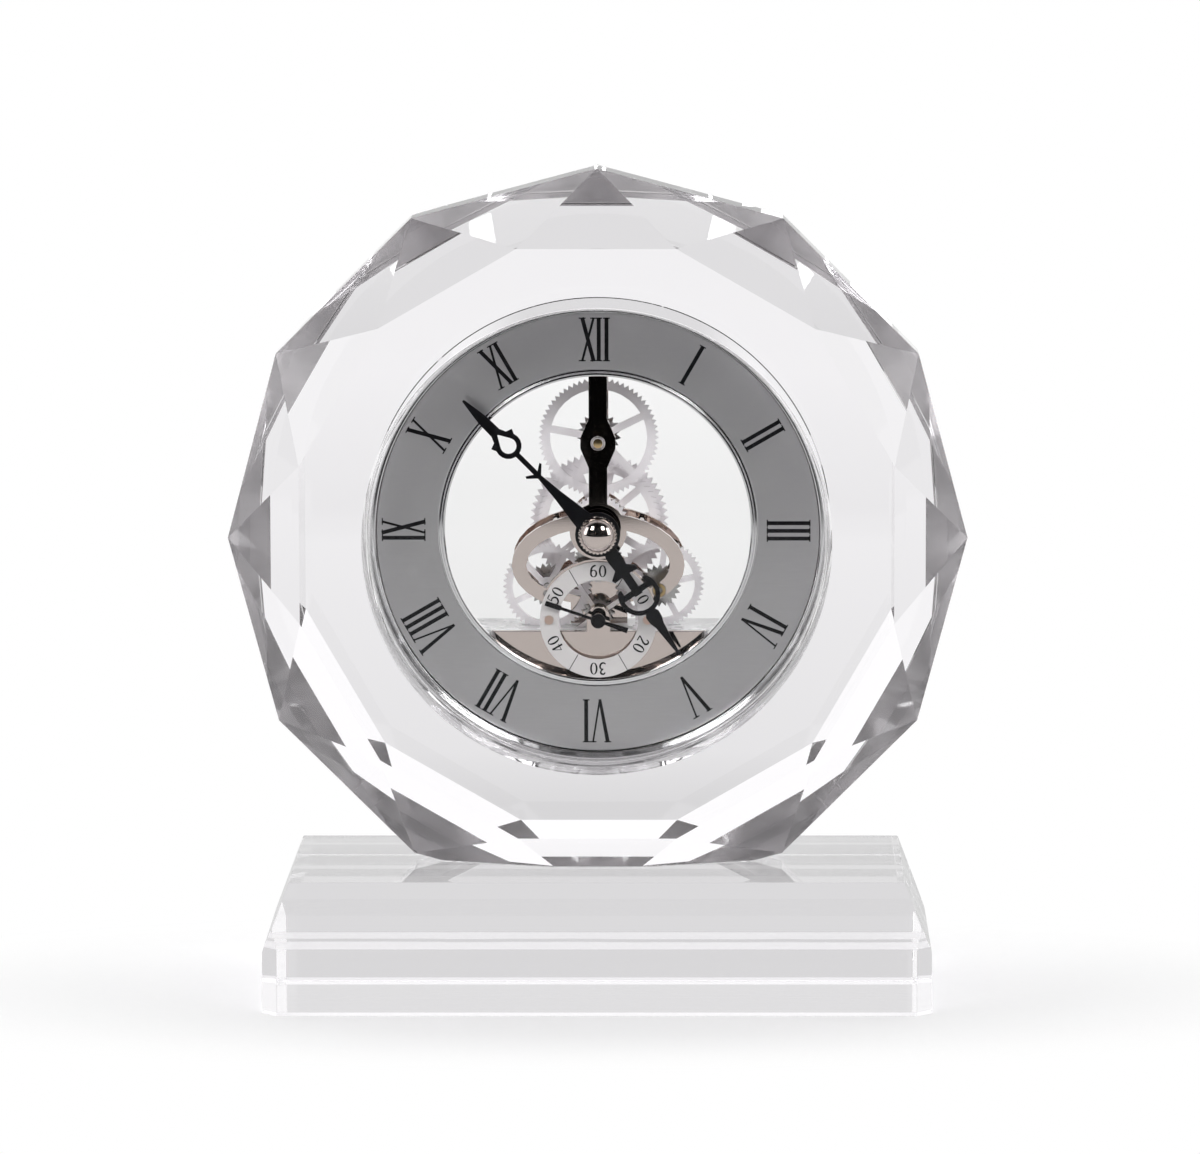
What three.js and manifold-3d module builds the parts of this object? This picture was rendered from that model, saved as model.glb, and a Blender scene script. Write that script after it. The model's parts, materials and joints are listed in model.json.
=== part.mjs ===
// Desk clock of cut crystal: a twelve-sided glass disc glued on a glass block, with a round skeleton
// clock pushed into its bore. Millimetres, +Z up, the clock faces -Y.
import * as THREE from 'three';
import { ConvexGeometry } from 'three/addons/geometries/ConvexGeometry.js';
import { mergeVertices } from 'three/addons/utils/BufferGeometryUtils.js';
import Module from 'manifold-3d';

const wasm = await Module();
wasm.setup();

// Gaps: glue line, fixed seats, running fits, and the air between moving layers
const GLUE_GAP = 0.1;
const SEAT_GAP = 0.2;
const RUN_GAP = 0.25;
const LAYER_GAP = 0.5;
const STEP_LAYER_GAP = 0.3;
const SLOT_GAP = 0.6;
const THIRD_LAYER_DROP = 2.2;
const CENTRE_LAYER_DROP = 1.7;

// Glass base
const BASE_WIDTH = 144;
const BASE_DEPTH = 58;
const BASE_HEIGHT = 29;
const BASE_END_BEVEL = 6;
const BASE_END_BEVEL_DROP = 15.8;
const BASE_CORNER_CUT = 3.2;
const BASE_SHOULDER = 1;
const BASE_SHOULDER_LOW = 14.6;
const BASE_SHOULDER_RISE = 3.8;

// Crystal disc: a girdle with corners at the hours, tables with corners at the half hours
const CRYSTAL_SIDES = 12;
const CRYSTAL_RADIUS = 80;
const TABLE_RADIUS = 66.1;
const CRYSTAL_THICKNESS = 35;
const GIRDLE = 10;
const CRYSTAL_FOOT_DROP = 71;
const CRYSTAL_BACKSET = 2;
const BORE_CLEARANCE = 0.9;

// Clock insert, a little above the crystal's centre, with its dial this far behind the front table
const INSERT_RISE = 0.6;
const DIAL_SETBACK = 17;
const CASE_RADIUS = 49.6;
const CASE_WALL = 2.2;
const CASE_DEPTH = 22;
const GASKET_WIDTH = 3;
const GASKET_DEPTH = 9;
const BEZEL_RISE = 1.2;
const BEZEL_DROP = 4;
const BEZEL_LEDGE = 1.6;
const LENS_OVERHANG = 0.6;
const LENS_WALL = 0.8;
const LENS_RISE = 9.6;
const LENS_THICKNESS = 1.6;
const COVER_THICKNESS = 1.8;
const COVER_SCREW_RADIUS = 0.7;
const COVER_SCREW_LENGTH = 5;
const COVER_SCREWS = 4;

// What fills the case has its reach and its places as shares of the case's radius
const inCase = (share) => share * CASE_RADIUS;
const placeInCase = (x, y) => ({ x: inCase(x), y: inCase(y) });

// Dial ring, its stepped lip and the small seconds ring
const BEZEL_WIDTH = 1.6;
const DIAL_INNER = inCase(0.706);
const DIAL_THICKNESS = 1;
const LIP_WIDTH = 1.3;
const LIP_RISE = 0.6;
const LIP_STEP = 0.55;
const SECONDS_OUTER = inCase(0.256);
const SECONDS_INNER = inCase(0.1755);
const SECONDS_THICKNESS = 0.8;
const RIVET_RADIUS = 1;
const RIVET_HEAD = 0.3;

// Bridges: an upright bar over an oval plate with two windows
const PLATE = 1.5;
const FRONT_BRIDGE_DROP = 1.7;
const BAR_WIDTH = 4;
const CENTRE_BOSS = 6.2;
const TOP_BOSS = 3.8;
const TOP_BOSS_FLAT = 1.2;
const TOP_BOSS_FLARE = 5.4;
const OVAL_HALF_WIDTH = inCase(0.379);
const OVAL_RISE = inCase(0.23);
const OVAL_FALL = inCase(0.212);
const OVAL_DROP = inCase(0.151);
const OVAL_RIM = 3.2;
const SECONDS_HORN_WIDTH = 3;
const PILLAR_RADIUS = 1.3;
const PILLAR_SIDE = inCase(0.1855);
const PILLAR_RISE = 0.6;
const TOP_PILLAR_RISE = inCase(0.766);
const BUSH_RADIUS = 1.4;

// Movement housing, a round segment under the wheels
const HOUSING_TOP = inCase(0.4475);
const HOUSING_WALL = 1.2;
const BOTTOM_PLATE_RADIUS = inCase(0.651);
const BOTTOM_PLATE_BOSS = 2.6;
const BATTERY_RADIUS = 5.25;
const BATTERY_LENGTH = inCase(0.897);
const HATCH_MARGIN = 0.5;
const HATCH_GRIP = 1;
const CONTACT_THICKNESS = 0.6;
const CONTACT_SIZE = 7;
const BATTERY_NUB_RADIUS = 1.9;
const BATTERY_NUB_LENGTH = 0.8;
const BATTERY_EDGE = 0.4;
const COIL_RADIUS = 1.7;
const COIL_BORE = 1.1;
const COIL_LENGTH = 14;
const STATOR_THICKNESS = 0.8;
const BOARD_THICKNESS = 0.8;

// Wheels and arbors
const WHEEL_THICKNESS = 0.8;
const PINION_THICKNESS = 1.2;
const ARBOR_RADIUS = 0.8;
const PIVOT_RADIUS = 0.5;
const CENTRE_ARBOR_RADIUS = 1.1;
const HUB_WALL = 1;
const ROTOR_RADIUS = 2;
const ROTOR_PIVOT_RADIUS = 0.4;

// Places of the arbors in the dial's plane, from the hands' axis
const CENTRE = { x: 0, y: 0 };
const SECONDS = placeInCase(0, -0.39);
const THIRD = placeInCase(-0.227, -0.276);
const RIGHT = placeInCase(0.268, -0.262);
const TOP = placeInCase(0, 0.387);
const MINUTE = { x: 0, y: -6.7 };
const IDLER = placeInCase(0.222, -0.494);
const ROTOR = placeInCase(0.108, -0.535);

// Places of the motor's still parts, from the hands' axis
const COIL = placeInCase(-0.403, -0.565);
const BOARD = placeInCase(0.484, -0.558);
const BOARD_WIDTH = 14;
const BOARD_HEIGHT = 6.6;
const STATOR_POST_RADIUS = 0.8;
const STATOR_CORE = 0.8;
const STATOR_SIDE = 2;
const STATOR_RETURN = 1.8;
const STATOR_RETURN_GAP = 0.6;

// Tooth counts: rotor 12-36, 12-50, 20-48 seconds 16-48, 20-60, 33-66, 18-60 minutes 12-36, 10-40 hours
const TEETH = {
  rotor: 12,
  idlerWheel: 36,
  idlerPinion: 12,
  rightWheel: 50,
  rightPinion: 20,
  secondsWheel: 48,
  secondsPinion: 16,
  thirdWheel: 48,
  thirdPinion: 20,
  secondWheel: 60,
  secondPinion: 33,
  topWheel: 66,
  topPinion: 18,
  centreWheel: 60,
  cannonPinion: 12,
  minuteWheel: 36,
  minutePinion: 10,
  hourWheel: 40,
};

// Hands, as they stand in the rest pose: degrees clockwise from twelve
const MINUTE_ANGLE = 315.2;
const HOUR_ANGLE = 146.2;
const SECONDS_ANGLE = 288.7;
const HAND_THICKNESS = 0.5;
const HAND_STEP = 0.9;
const SECONDS_HAND_LIFT = 0.3;
const HOUR_HAND_LIFT = 2.2;
const MINUTE_HAND_LENGTH = inCase(0.83);
const HOUR_HAND_LENGTH = inCase(0.647);
const SECONDS_HAND_LENGTH = inCase(0.244);
const SECONDS_HAND_TAIL = inCase(0.136);
const SECONDS_HAND_HUB = 1.6;
const SECONDS_HAND_CAP = 0.3;
const NUT_RADIUS = 4.2;
const NUT_RIM = 1.2;
const NUT_SCALLOPS = 30;
const KNOB_RADIUS = 4.5;
const KNOB_THICKNESS = 2.4;
const KNOB_GRIPS = 20;

const RING_SIDES = 48;
const SMALL_SIDES = 12;

// Heights in the insert, over the dial's face and towards the viewer
const dialBack = -DIAL_THICKNESS;
const bridgeFront = -FRONT_BRIDGE_DROP;
const bridgeBack = bridgeFront - PLATE;
const secondsDialBack = bridgeFront + SEAT_GAP;
const secondsDialFront = secondsDialBack + SECONDS_THICKNESS;
const bottomPlateFront = bridgeBack - SEAT_GAP;
const bottomPlateBack = bottomPlateFront - PLATE;
const housingLidFront = bottomPlateBack - SEAT_GAP;
const housingLidBack = housingLidFront - HOUSING_WALL;
const hourLayer = bridgeBack - LAYER_GAP - WHEEL_THICKNESS;
const motionLayer = hourLayer - 2 * LAYER_GAP - WHEEL_THICKNESS;
const idlerLayer = housingLidBack - LAYER_GAP - WHEEL_THICKNESS;
const stepLayer = idlerLayer - STEP_LAYER_GAP - STATOR_THICKNESS;
const secondsLayer = stepLayer - LAYER_GAP - WHEEL_THICKNESS;
const thirdLayer = secondsLayer - THIRD_LAYER_DROP - WHEEL_THICKNESS;
const rearBridgeFront = thirdLayer - LAYER_GAP;
const rearBridgeBack = rearBridgeFront - PLATE;
const secondLayer = rearBridgeBack - LAYER_GAP - WHEEL_THICKNESS;
const centreLayer = secondLayer - CENTRE_LAYER_DROP - WHEEL_THICKNESS;
const caseBack = -CASE_DEPTH;
const rearPlateBack = caseBack + 2 * SEAT_GAP;
const rearPlateFront = rearPlateBack - SEAT_GAP + PLATE;
const coverFront = caseBack - SEAT_GAP;
const coverBack = coverFront - COVER_THICKNESS;

// Radii and places that follow from the sizes above
const dialY = CRYSTAL_BACKSET - CRYSTAL_THICKNESS / 2 + DIAL_SETBACK;
const crystalZ = BASE_HEIGHT + GLUE_GAP + CRYSTAL_FOOT_DROP;
const boreRadius = CASE_RADIUS + BORE_CLEARANCE;
const lensRadius = CASE_RADIUS + LENS_OVERHANG;
const dialOuter = CASE_RADIUS - BEZEL_WIDTH;
const caseBore = CASE_RADIUS - CASE_WALL;
const ledgeRadius = CASE_RADIUS - CASE_WALL - BEZEL_LEDGE / 2;
const lipOuter = DIAL_INNER - SEAT_GAP / 2;
const lipInner = lipOuter - LIP_WIDTH;
const housingRadius = caseBore - SEAT_GAP;
const hornOuter = (SECONDS_OUTER + SECONDS_INNER + SECONDS_HORN_WIDTH) / 2;
const hornInner = hornOuter - SECONDS_HORN_WIDTH;
const rivetReach = (SECONDS_OUTER + SECONDS_INNER) / 2;
const pipeRadius = CENTRE_ARBOR_RADIUS + RUN_GAP + HUB_WALL;
const secondHubRadius = pipeRadius;
const batteryZ = caseBack + HOUSING_WALL + SEAT_GAP + BATTERY_RADIUS;
const hatchWidth = BATTERY_LENGTH + 3 * CONTACT_THICKNESS;
const hatchHeight = 2 * (BATTERY_RADIUS + HATCH_MARGIN);
const stepMid = stepLayer + STATOR_THICKNESS / 2;

// The stator's core runs through the coil, and two posts press on the stator's ends
const coreLeft = COIL.x - COIL_LENGTH / 2 - SEAT_GAP;
const coreRight = COIL.x + COIL_LENGTH / 2 + SEAT_GAP;
const coreTail = coreLeft - STATOR_SIDE;
const armHigh = COIL.y - COIL_RADIUS - STATOR_RETURN_GAP;
const statorPosts = [
  { x: (coreTail + coreLeft) / 2, y: (COIL.y + armHigh) / 2 },
  { x: (coreRight + ROTOR.x - ROTOR_RADIUS) / 2, y: COIL.y },
];

// A geometry as one closed body: positions only, shared corners, no empty faces, faces pointing out
function closed(geometry) {
  const bare = new THREE.BufferGeometry();
  bare.setAttribute('position', geometry.getAttribute('position'));
  bare.setIndex(geometry.index);
  const merged = mergeVertices(bare, 1e-4);
  const at = merged.getAttribute('position');
  const corners = Array.from(merged.index.array);
  const kept = [];
  let volume = 0;
  const [a, b, c] = [new THREE.Vector3(), new THREE.Vector3(), new THREE.Vector3()];
  for (let i = 0; i < corners.length; i += 3) {
    const [p, q, r] = corners.slice(i, i + 3);
    if (p === q || q === r || r === p) continue;
    a.fromBufferAttribute(at, p);
    b.fromBufferAttribute(at, q);
    c.fromBufferAttribute(at, r);
    volume += a.dot(b.clone().cross(c));
    kept.push(p, q, r);
  }
  if (volume < 0) kept.reverse();
  merged.setIndex(kept);
  return merged;
}

function solid(geometry) {
  const shape = closed(geometry);
  const mesh = new wasm.Mesh({
    numProp: 3,
    vertProperties: new Float32Array(shape.getAttribute('position').array),
    triVerts: new Uint32Array(shape.index.array),
  });
  return new wasm.Manifold(mesh);
}

function geometryOf(manifold) {
  const mesh = manifold.getMesh();
  const geometry = new THREE.BufferGeometry();
  geometry.setAttribute('position', new THREE.BufferAttribute(mesh.vertProperties, 3));
  geometry.setIndex(new THREE.BufferAttribute(mesh.triVerts, 1));
  return geometry;
}

const joined = (...solids) => solids.reduce((whole, next) => whole.add(next));
const cut = (body, ...cutters) => cutters.reduce((rest, next) => rest.subtract(next), body);
const cutGeometry = (body, ...cutters) => geometryOf(cut(body, ...cutters));

// Shapes in the plane
const point = (x, y) => new THREE.Vector2(x, y);
const polar = (radius, angle) => point(radius * Math.cos(angle), radius * Math.sin(angle));
const shapeOf = (points) => new THREE.Shape(points);
const mirrored = (right) => [...right, ...right.slice().reverse().map((p) => point(-p.x, p.y))];
const degrees = (value) => (value * Math.PI) / 180;
const centred = (layer) => layer + (WHEEL_THICKNESS - PINION_THICKNESS) / 2;

function circlePoints(radius, sides, place = CENTRE) {
  return Array.from({ length: sides }, (_, i) => {
    const corner = polar(radius, (2 * Math.PI * i) / sides);
    return point(place.x + corner.x, place.y + corner.y);
  });
}

function rectangle(left, bottom, right, top) {
  return shapeOf([point(left, bottom), point(right, bottom), point(right, top), point(left, top)]);
}

// Solids that stand on the dial's plane, from height low to height high
function slab(shape, low, high) {
  const options = { depth: high - low, bevelEnabled: false, curveSegments: 6 };
  return new THREE.ExtrudeGeometry(shape, options).translate(0, 0, low);
}

function rod(radius, low, high, place = CENTRE, sides = SMALL_SIDES) {
  return slab(shapeOf(circlePoints(radius, sides, place)), low, high);
}

// A body of revolution from (radius, height) pairs, which close on themselves or end on the axis
function turned(pairs, sides = RING_SIDES, place = CENTRE) {
  const onAxis = pairs[0][0] === 0;
  const outline = onAxis ? pairs : [...pairs, pairs[0]];
  const profile = outline.map(([radius, height]) => point(radius, height));
  return new THREE.LatheGeometry(profile, sides).rotateX(Math.PI / 2).translate(place.x, place.y, 0);
}

function tube(outer, inner, low, high, sides = RING_SIDES, place = CENTRE) {
  return turned([[inner, low], [outer, low], [outer, high], [inner, high]], sides, place);
}

// Gears: each of a pair gets its module from the distance between the two arbors
const distance = (a, b) => Math.hypot(a.x - b.x, a.y - b.y);
const bearing = (from, to) => Math.atan2(to.y - from.y, to.x - from.x);

const ADDENDUM = 0.9;
const DEDENDUM = 1.3;

function meshed(placeA, teethA, placeB, teethB) {
  const size = (2 * distance(placeA, placeB)) / (teethA + teethB);
  const gear = (place, teeth, aim) => ({
    place,
    teeth,
    aim,
    pitch: (teeth * size) / 2,
    tip: (teeth / 2 + ADDENDUM) * size,
    root: (teeth / 2 - DEDENDUM) * size,
  });
  const towards = bearing(placeA, placeB);
  return [
    gear(placeA, teethA, towards),
    gear(placeB, teethB, towards + Math.PI + Math.PI / teethB),
  ];
}

// A pointed tooth at aim and at every step from there, with a sharp root halfway between
function gearPoints({ place, teeth, aim, tip, root }) {
  const step = (2 * Math.PI) / teeth;
  const outline = [];
  for (let i = 0; i < teeth; i += 1) {
    outline.push(polar(tip, aim + i * step), polar(root, aim + (i + 0.5) * step));
  }
  return outline.map((p) => point(place.x + p.x, place.y + p.y));
}

const disc = (gear, bore, sides = SMALL_SIDES) => {
  const shape = shapeOf(gearPoints(gear));
  shape.holes.push(new THREE.Path(circlePoints(bore, sides, gear.place)));
  return shape;
};

// A wheel with spokes of even width between its hub and its rim
function spokedWheel(gear, { bore, hub, rim, spokes, width, turn }, low) {
  const shape = disc(gear, bore);
  const inner = gear.root - rim;
  const reach = (2 * Math.PI) / spokes;
  const arc = (radius, from, steps) => {
    const edge = Math.asin(width / 2 / radius);
    return Array.from({ length: steps + 1 }, (_, k) =>
      polar(radius, from + edge + ((reach - 2 * edge) * k) / steps));
  };
  for (let i = 0; i < spokes; i += 1) {
    const from = turn + reach * i;
    const hole = [...arc(hub, from, 2), ...arc(inner, from, 6).reverse()];
    shape.holes.push(new THREE.Path(hole.map((p) => point(gear.place.x + p.x, gear.place.y + p.y))));
  }
  return slab(shape, low, low + WHEEL_THICKNESS);
}

const [secondsPinion, thirdWheel] = meshed(SECONDS, TEETH.secondsPinion, THIRD, TEETH.thirdWheel);
const [thirdPinion, secondWheel] = meshed(THIRD, TEETH.thirdPinion, CENTRE, TEETH.secondWheel);
const [secondPinion, topWheel] = meshed(CENTRE, TEETH.secondPinion, TOP, TEETH.topWheel);
const [topPinion, centreWheel] = meshed(TOP, TEETH.topPinion, CENTRE, TEETH.centreWheel);
const [secondsWheel, rightPinion] = meshed(SECONDS, TEETH.secondsWheel, RIGHT, TEETH.rightPinion);
const [rightWheel, idlerPinion] = meshed(RIGHT, TEETH.rightWheel, IDLER, TEETH.idlerPinion);
const [idlerWheel, rotorPinion] = meshed(IDLER, TEETH.idlerWheel, ROTOR, TEETH.rotor);
const [cannonPinion, minuteWheel] = meshed(CENTRE, TEETH.cannonPinion, MINUTE, TEETH.minuteWheel);
const [minutePinion, hourWheel] = meshed(MINUTE, TEETH.minutePinion, CENTRE, TEETH.hourWheel);

// The cell lies just under the idler's pinion
const batteryDrop = idlerPinion.tip - IDLER.y + RUN_GAP + BATTERY_RADIUS;

// Finishes
const finish = (color, roughness, metalness, extra = {}) => () =>
  new THREE.MeshStandardMaterial({ color, roughness, metalness, ...extra });
const glass = finish(0xf2f6f7, 0.02, 0, { transparent: true, opacity: 0.35 });
const clearPlastic = finish(0xf4f6f7, 0.08, 0, { transparent: true, opacity: 0.35 });
const chrome = finish(0xc9c6c2, 0.06, 1);
const brushed = finish(0x9c9da0, 0.4, 1);
const satin = finish(0xd9d6d8, 0.35, 0.8);
const ivory = finish(0xdedcdc, 0.5, 0.1);
const steel = finish(0xb4b2b0, 0.25, 1);
const brass = finish(0xb08a4c, 0.3, 1);
const copper = finish(0xb48a72, 0.3, 1);
const black = finish(0x0d0d0f, 0.35, 0.2);
const white = finish(0xe9e9ea, 0.45, 0);
const green = finish(0x2f5a3c, 0.5, 0.1);
const winding = finish(0x9c4f23, 0.4, 0.7);
const cell = finish(0x5c6470, 0.35, 0.5);

const clock = new THREE.Group();
const insert = new THREE.Group();
insert.position.set(0, dialY, crystalZ + INSERT_RISE);
insert.rotation.x = Math.PI / 2;
clock.add(insert);

function put(name, geometry, material, parent = insert) {
  const mesh = new THREE.Mesh(closed(geometry), material());
  mesh.name = name;
  parent.add(mesh);
}

// Glass base: the meeting of its plan, its end view and its side view
function baseGeometry() {
  const [halfWidth, halfDepth] = [BASE_WIDTH / 2, BASE_DEPTH / 2];
  const cutX = halfWidth - BASE_CORNER_CUT;
  const cutY = halfDepth - BASE_CORNER_CUT;
  const plan = shapeOf([
    point(cutX, -halfDepth), point(halfWidth, -cutY), point(halfWidth, cutY), point(cutX, halfDepth),
    point(-cutX, halfDepth), point(-halfWidth, cutY), point(-halfWidth, -cutY), point(-cutX, -halfDepth),
  ]);
  const top = halfWidth - BASE_END_BEVEL;
  const bevelLow = BASE_HEIGHT - BASE_END_BEVEL_DROP;
  const front = shapeOf([
    point(-halfWidth, 0), point(halfWidth, 0), point(halfWidth, bevelLow),
    point(top, BASE_HEIGHT), point(-top, BASE_HEIGHT), point(-halfWidth, bevelLow),
  ]);
  const inset = halfDepth - BASE_SHOULDER;
  const shoulderHigh = BASE_SHOULDER_LOW + BASE_SHOULDER_RISE;
  const side = shapeOf([
    point(-halfDepth, 0), point(halfDepth, 0), point(halfDepth, BASE_SHOULDER_LOW),
    point(inset, shoulderHigh), point(inset, BASE_HEIGHT), point(-inset, BASE_HEIGHT),
    point(-inset, shoulderHigh), point(-halfDepth, BASE_SHOULDER_LOW),
  ]);
  const frontView = slab(front, -BASE_DEPTH, BASE_DEPTH).rotateX(Math.PI / 2);
  const sideView = slab(side, -BASE_WIDTH, BASE_WIDTH).rotateX(Math.PI / 2).rotateZ(Math.PI / 2);
  const block = solid(slab(plan, 0, BASE_HEIGHT));
  return geometryOf(block.intersect(solid(frontView)).intersect(solid(sideView)));
}

// Crystal: the hull of its girdle and its two tables, bored through and cut flat to stand on the base
function crystalGeometry() {
  const corners = [];
  const step = (2 * Math.PI) / CRYSTAL_SIDES;
  for (let i = 0; i < CRYSTAL_SIDES; i += 1) {
    const girdle = polar(CRYSTAL_RADIUS, i * step);
    const table = polar(TABLE_RADIUS, (i + 0.5) * step);
    for (const side of [-1, 1]) {
      corners.push(new THREE.Vector3(girdle.x, girdle.y, (side * GIRDLE) / 2));
      corners.push(new THREE.Vector3(table.x, table.y, (side * CRYSTAL_THICKNESS) / 2));
    }
  }
  const borePlace = { x: 0, y: INSERT_RISE };
  const bore = rod(boreRadius, -CRYSTAL_THICKNESS, CRYSTAL_THICKNESS, borePlace, RING_SIDES);
  const far = 2 * CRYSTAL_RADIUS;
  const below = slab(rectangle(-far, -far, far, -CRYSTAL_FOOT_DROP), -far, far);
  return cutGeometry(solid(new ConvexGeometry(corners)), solid(bore), solid(below))
    .rotateX(Math.PI / 2)
    .translate(0, CRYSTAL_BACKSET, crystalZ);
}

put('crystal_base', baseGeometry(), glass, clock);
put('crystal_body', crystalGeometry(), glass, clock);

// Case of the insert
const bezelInner = dialOuter + SEAT_GAP;
const bezelProfile = [
  [bezelInner, BEZEL_RISE], [CASE_RADIUS, BEZEL_RISE], [CASE_RADIUS, -BEZEL_DROP],
  [ledgeRadius, -BEZEL_DROP], [ledgeRadius, dialBack - SEAT_GAP], [bezelInner, dialBack - SEAT_GAP],
];
const lensFoot = BEZEL_RISE + SEAT_GAP;
const lensInner = lensRadius - LENS_WALL;
const lensProfile = [
  [0, LENS_RISE], [lensRadius, LENS_RISE], [lensRadius, lensFoot],
  [lensInner, lensFoot], [lensInner, LENS_RISE - LENS_THICKNESS], [0, LENS_RISE - LENS_THICKNESS],
];
const screwReach = CASE_RADIUS - CASE_WALL / 2;
const screwHole = COVER_SCREW_RADIUS + SEAT_GAP / 2;
const screwPlaces = Array.from({ length: COVER_SCREWS }, (_, i) =>
  polar(screwReach, (Math.PI * (2 * i + 1)) / COVER_SCREWS));
const screwBottom = coverFront + COVER_SCREW_LENGTH;

function caseRing() {
  const ring = solid(tube(CASE_RADIUS, caseBore, caseBack, -BEZEL_DROP - SEAT_GAP));
  const holes = screwPlaces.map((place) =>
    solid(rod(screwHole, caseBack - 1, screwBottom + SEAT_GAP, place, 8)));
  return cutGeometry(ring, ...holes);
}

function hatchShape(margin) {
  const [width, height] = [hatchWidth / 2 - margin, hatchHeight / 2 - margin];
  return rectangle(-width, -batteryDrop - height, width, -batteryDrop + height);
}

function rearCover() {
  const plate = solid(rod(CASE_RADIUS, coverBack, coverFront, CENTRE, RING_SIDES));
  const low = coverBack - 1;
  const high = coverFront + 1;
  const holes = screwPlaces.map((place) => solid(rod(screwHole, low, high, place, 8)));
  return cutGeometry(
    plate, solid(slab(hatchShape(0), low, high)), solid(rod(pipeRadius + RUN_GAP, low, high)), ...holes);
}

function coverScrew(place) {
  const head = coverBack - 2 * SEAT_GAP;
  const neck = coverBack - SEAT_GAP / 2;
  const wide = 1.35 * COVER_SCREW_RADIUS;
  const profile = [
    [0, head], [wide, head], [wide, neck], [COVER_SCREW_RADIUS, neck],
    [COVER_SCREW_RADIUS, screwBottom], [0, screwBottom],
  ];
  return turned(profile, 8, place);
}

put('bezel_ring', turned(bezelProfile), chrome);
put('front_lens', turned(lensProfile), clearPlastic);
put('case_ring', caseRing(), white);
const gasketRadii = [boreRadius - SEAT_GAP, CASE_RADIUS + SEAT_GAP];
put('gasket_ring', tube(...gasketRadii, -GASKET_DEPTH - GASKET_WIDTH, -GASKET_DEPTH), white);
put('rear_cover', rearCover(), clearPlastic);
screwPlaces.forEach((place, i) => put(`cover_screw_${i + 1}`, coverScrew(place), steel));

// Dial ring, lip and seconds ring
const lipBack = bridgeFront + SEAT_GAP;
const lipProfile = [
  [lipInner, lipBack], [lipOuter, lipBack], [lipOuter, LIP_RISE],
  [lipInner + LIP_STEP, LIP_RISE], [lipInner + LIP_STEP, -LIP_RISE], [lipInner, -LIP_RISE],
];
put('dial_ring', tube(dialOuter, DIAL_INNER, dialBack, 0), brushed);
put('dial_lip', turned(lipProfile), chrome);

const rivetPlaces = [-1, 1].map((side) => ({ x: SECONDS.x + side * rivetReach, y: SECONDS.y }));
const rivetShank = 0.6 * RIVET_RADIUS;
const rivetHoles = (low, high) =>
  rivetPlaces.map((place) => solid(rod(rivetShank + SEAT_GAP, low, high, place, 12)));

function secondsDial() {
  const ring = tube(SECONDS_OUTER, SECONDS_INNER, secondsDialBack, secondsDialFront, 40, SECONDS);
  return cutGeometry(solid(ring), ...rivetHoles(secondsDialBack - 1, secondsDialFront + 1));
}

function rivet(place) {
  const seat = secondsDialFront + SEAT_GAP / 2;
  const profile = [
    [0, bridgeBack], [rivetShank, bridgeBack], [rivetShank, seat],
    [RIVET_RADIUS, seat], [RIVET_RADIUS, seat + RIVET_HEAD], [0, seat + RIVET_HEAD],
  ];
  return turned(profile, 16, place);
}

put('seconds_dial', secondsDial(), ivory);
put('seconds_rivet_left', rivet(rivetPlaces[0]), copper);
put('seconds_rivet_right', rivet(rivetPlaces[1]), copper);

// Bridges
function ovalShape(halfWidth, rise, fall) {
  const steps = 16;
  const outline = [];
  for (let i = 0; i < 2 * steps; i += 1) {
    const angle = (Math.PI * i) / steps;
    const height = i < steps ? rise : fall;
    outline.push(point(halfWidth * Math.cos(angle), height * Math.sin(angle) - OVAL_DROP));
  }
  return shapeOf(outline);
}

function ovalWindows(low, high) {
  const inside = ovalShape(OVAL_HALF_WIDTH - OVAL_RIM, OVAL_RISE - OVAL_RIM, OVAL_FALL - OVAL_RIM);
  const keepBoss = solid(rod(CENTRE_BOSS, low - 1, high + 1, CENTRE, 24));
  const web = SECONDS_OUTER + OVAL_RIM / 6;
  const keepWeb = solid(rod(web, low - 1, high + 1, SECONDS, 28));
  return cut(solid(slab(inside, low, high)), keepBoss, keepWeb);
}

const pillarPlaces = [-1, 1].map((side) => ({ x: side * PILLAR_SIDE, y: PILLAR_RISE }));
const topPillarPlace = { x: 0, y: TOP_PILLAR_RISE };
const pivotHole = (place, low, high, radius = PIVOT_RADIUS + RUN_GAP) =>
  solid(rod(radius, low - 1, high + 1, place, 12));
const bushHole = BUSH_RADIUS + SEAT_GAP;

function frontBridge() {
  const [low, high] = [bridgeBack, bridgeFront];
  const barTop = ledgeRadius - SEAT_GAP - (BAR_WIDTH * BAR_WIDTH) / 8 / ledgeRadius;
  const side = BAR_WIDTH / 2;
  const bar = rectangle(-side, 0, side, barTop);
  const topBoss = shapeOf(mirrored([
    point(side, TOP.y - TOP_BOSS_FLARE), point(TOP_BOSS, TOP.y - TOP_BOSS_FLAT),
    point(TOP_BOSS, TOP.y + TOP_BOSS_FLAT), point(side, TOP.y + TOP_BOSS_FLARE),
  ]));
  const oval = cut(
    solid(slab(ovalShape(OVAL_HALF_WIDTH, OVAL_RISE, OVAL_FALL), low, high)),
    ovalWindows(low - 1, high + 1));
  const body = joined(
    oval,
    solid(slab(bar, low, high)),
    solid(rod(CENTRE_BOSS, low, high, CENTRE, 24)),
    solid(slab(topBoss, low, high)),
    solid(rod(hornOuter, low, high, SECONDS, 28)));
  const stud = solid(rod(PIVOT_RADIUS + SEAT_GAP, motionLayer, bridgeBack + 0.5, MINUTE, 12));
  const holes = [
    solid(rod(hornInner, low - 1, high + 1, SECONDS, 28)),
    pivotHole(CENTRE, low, high, pipeRadius + RUN_GAP),
    pivotHole(TOP, low, high, bushHole),
    pivotHole(THIRD, low, high),
    pivotHole(RIGHT, low, high, bushHole),
    ...rivetHoles(low - 1, high + 1),
  ];
  return geometryOf(cut(body, ...holes).add(stud));
}

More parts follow.
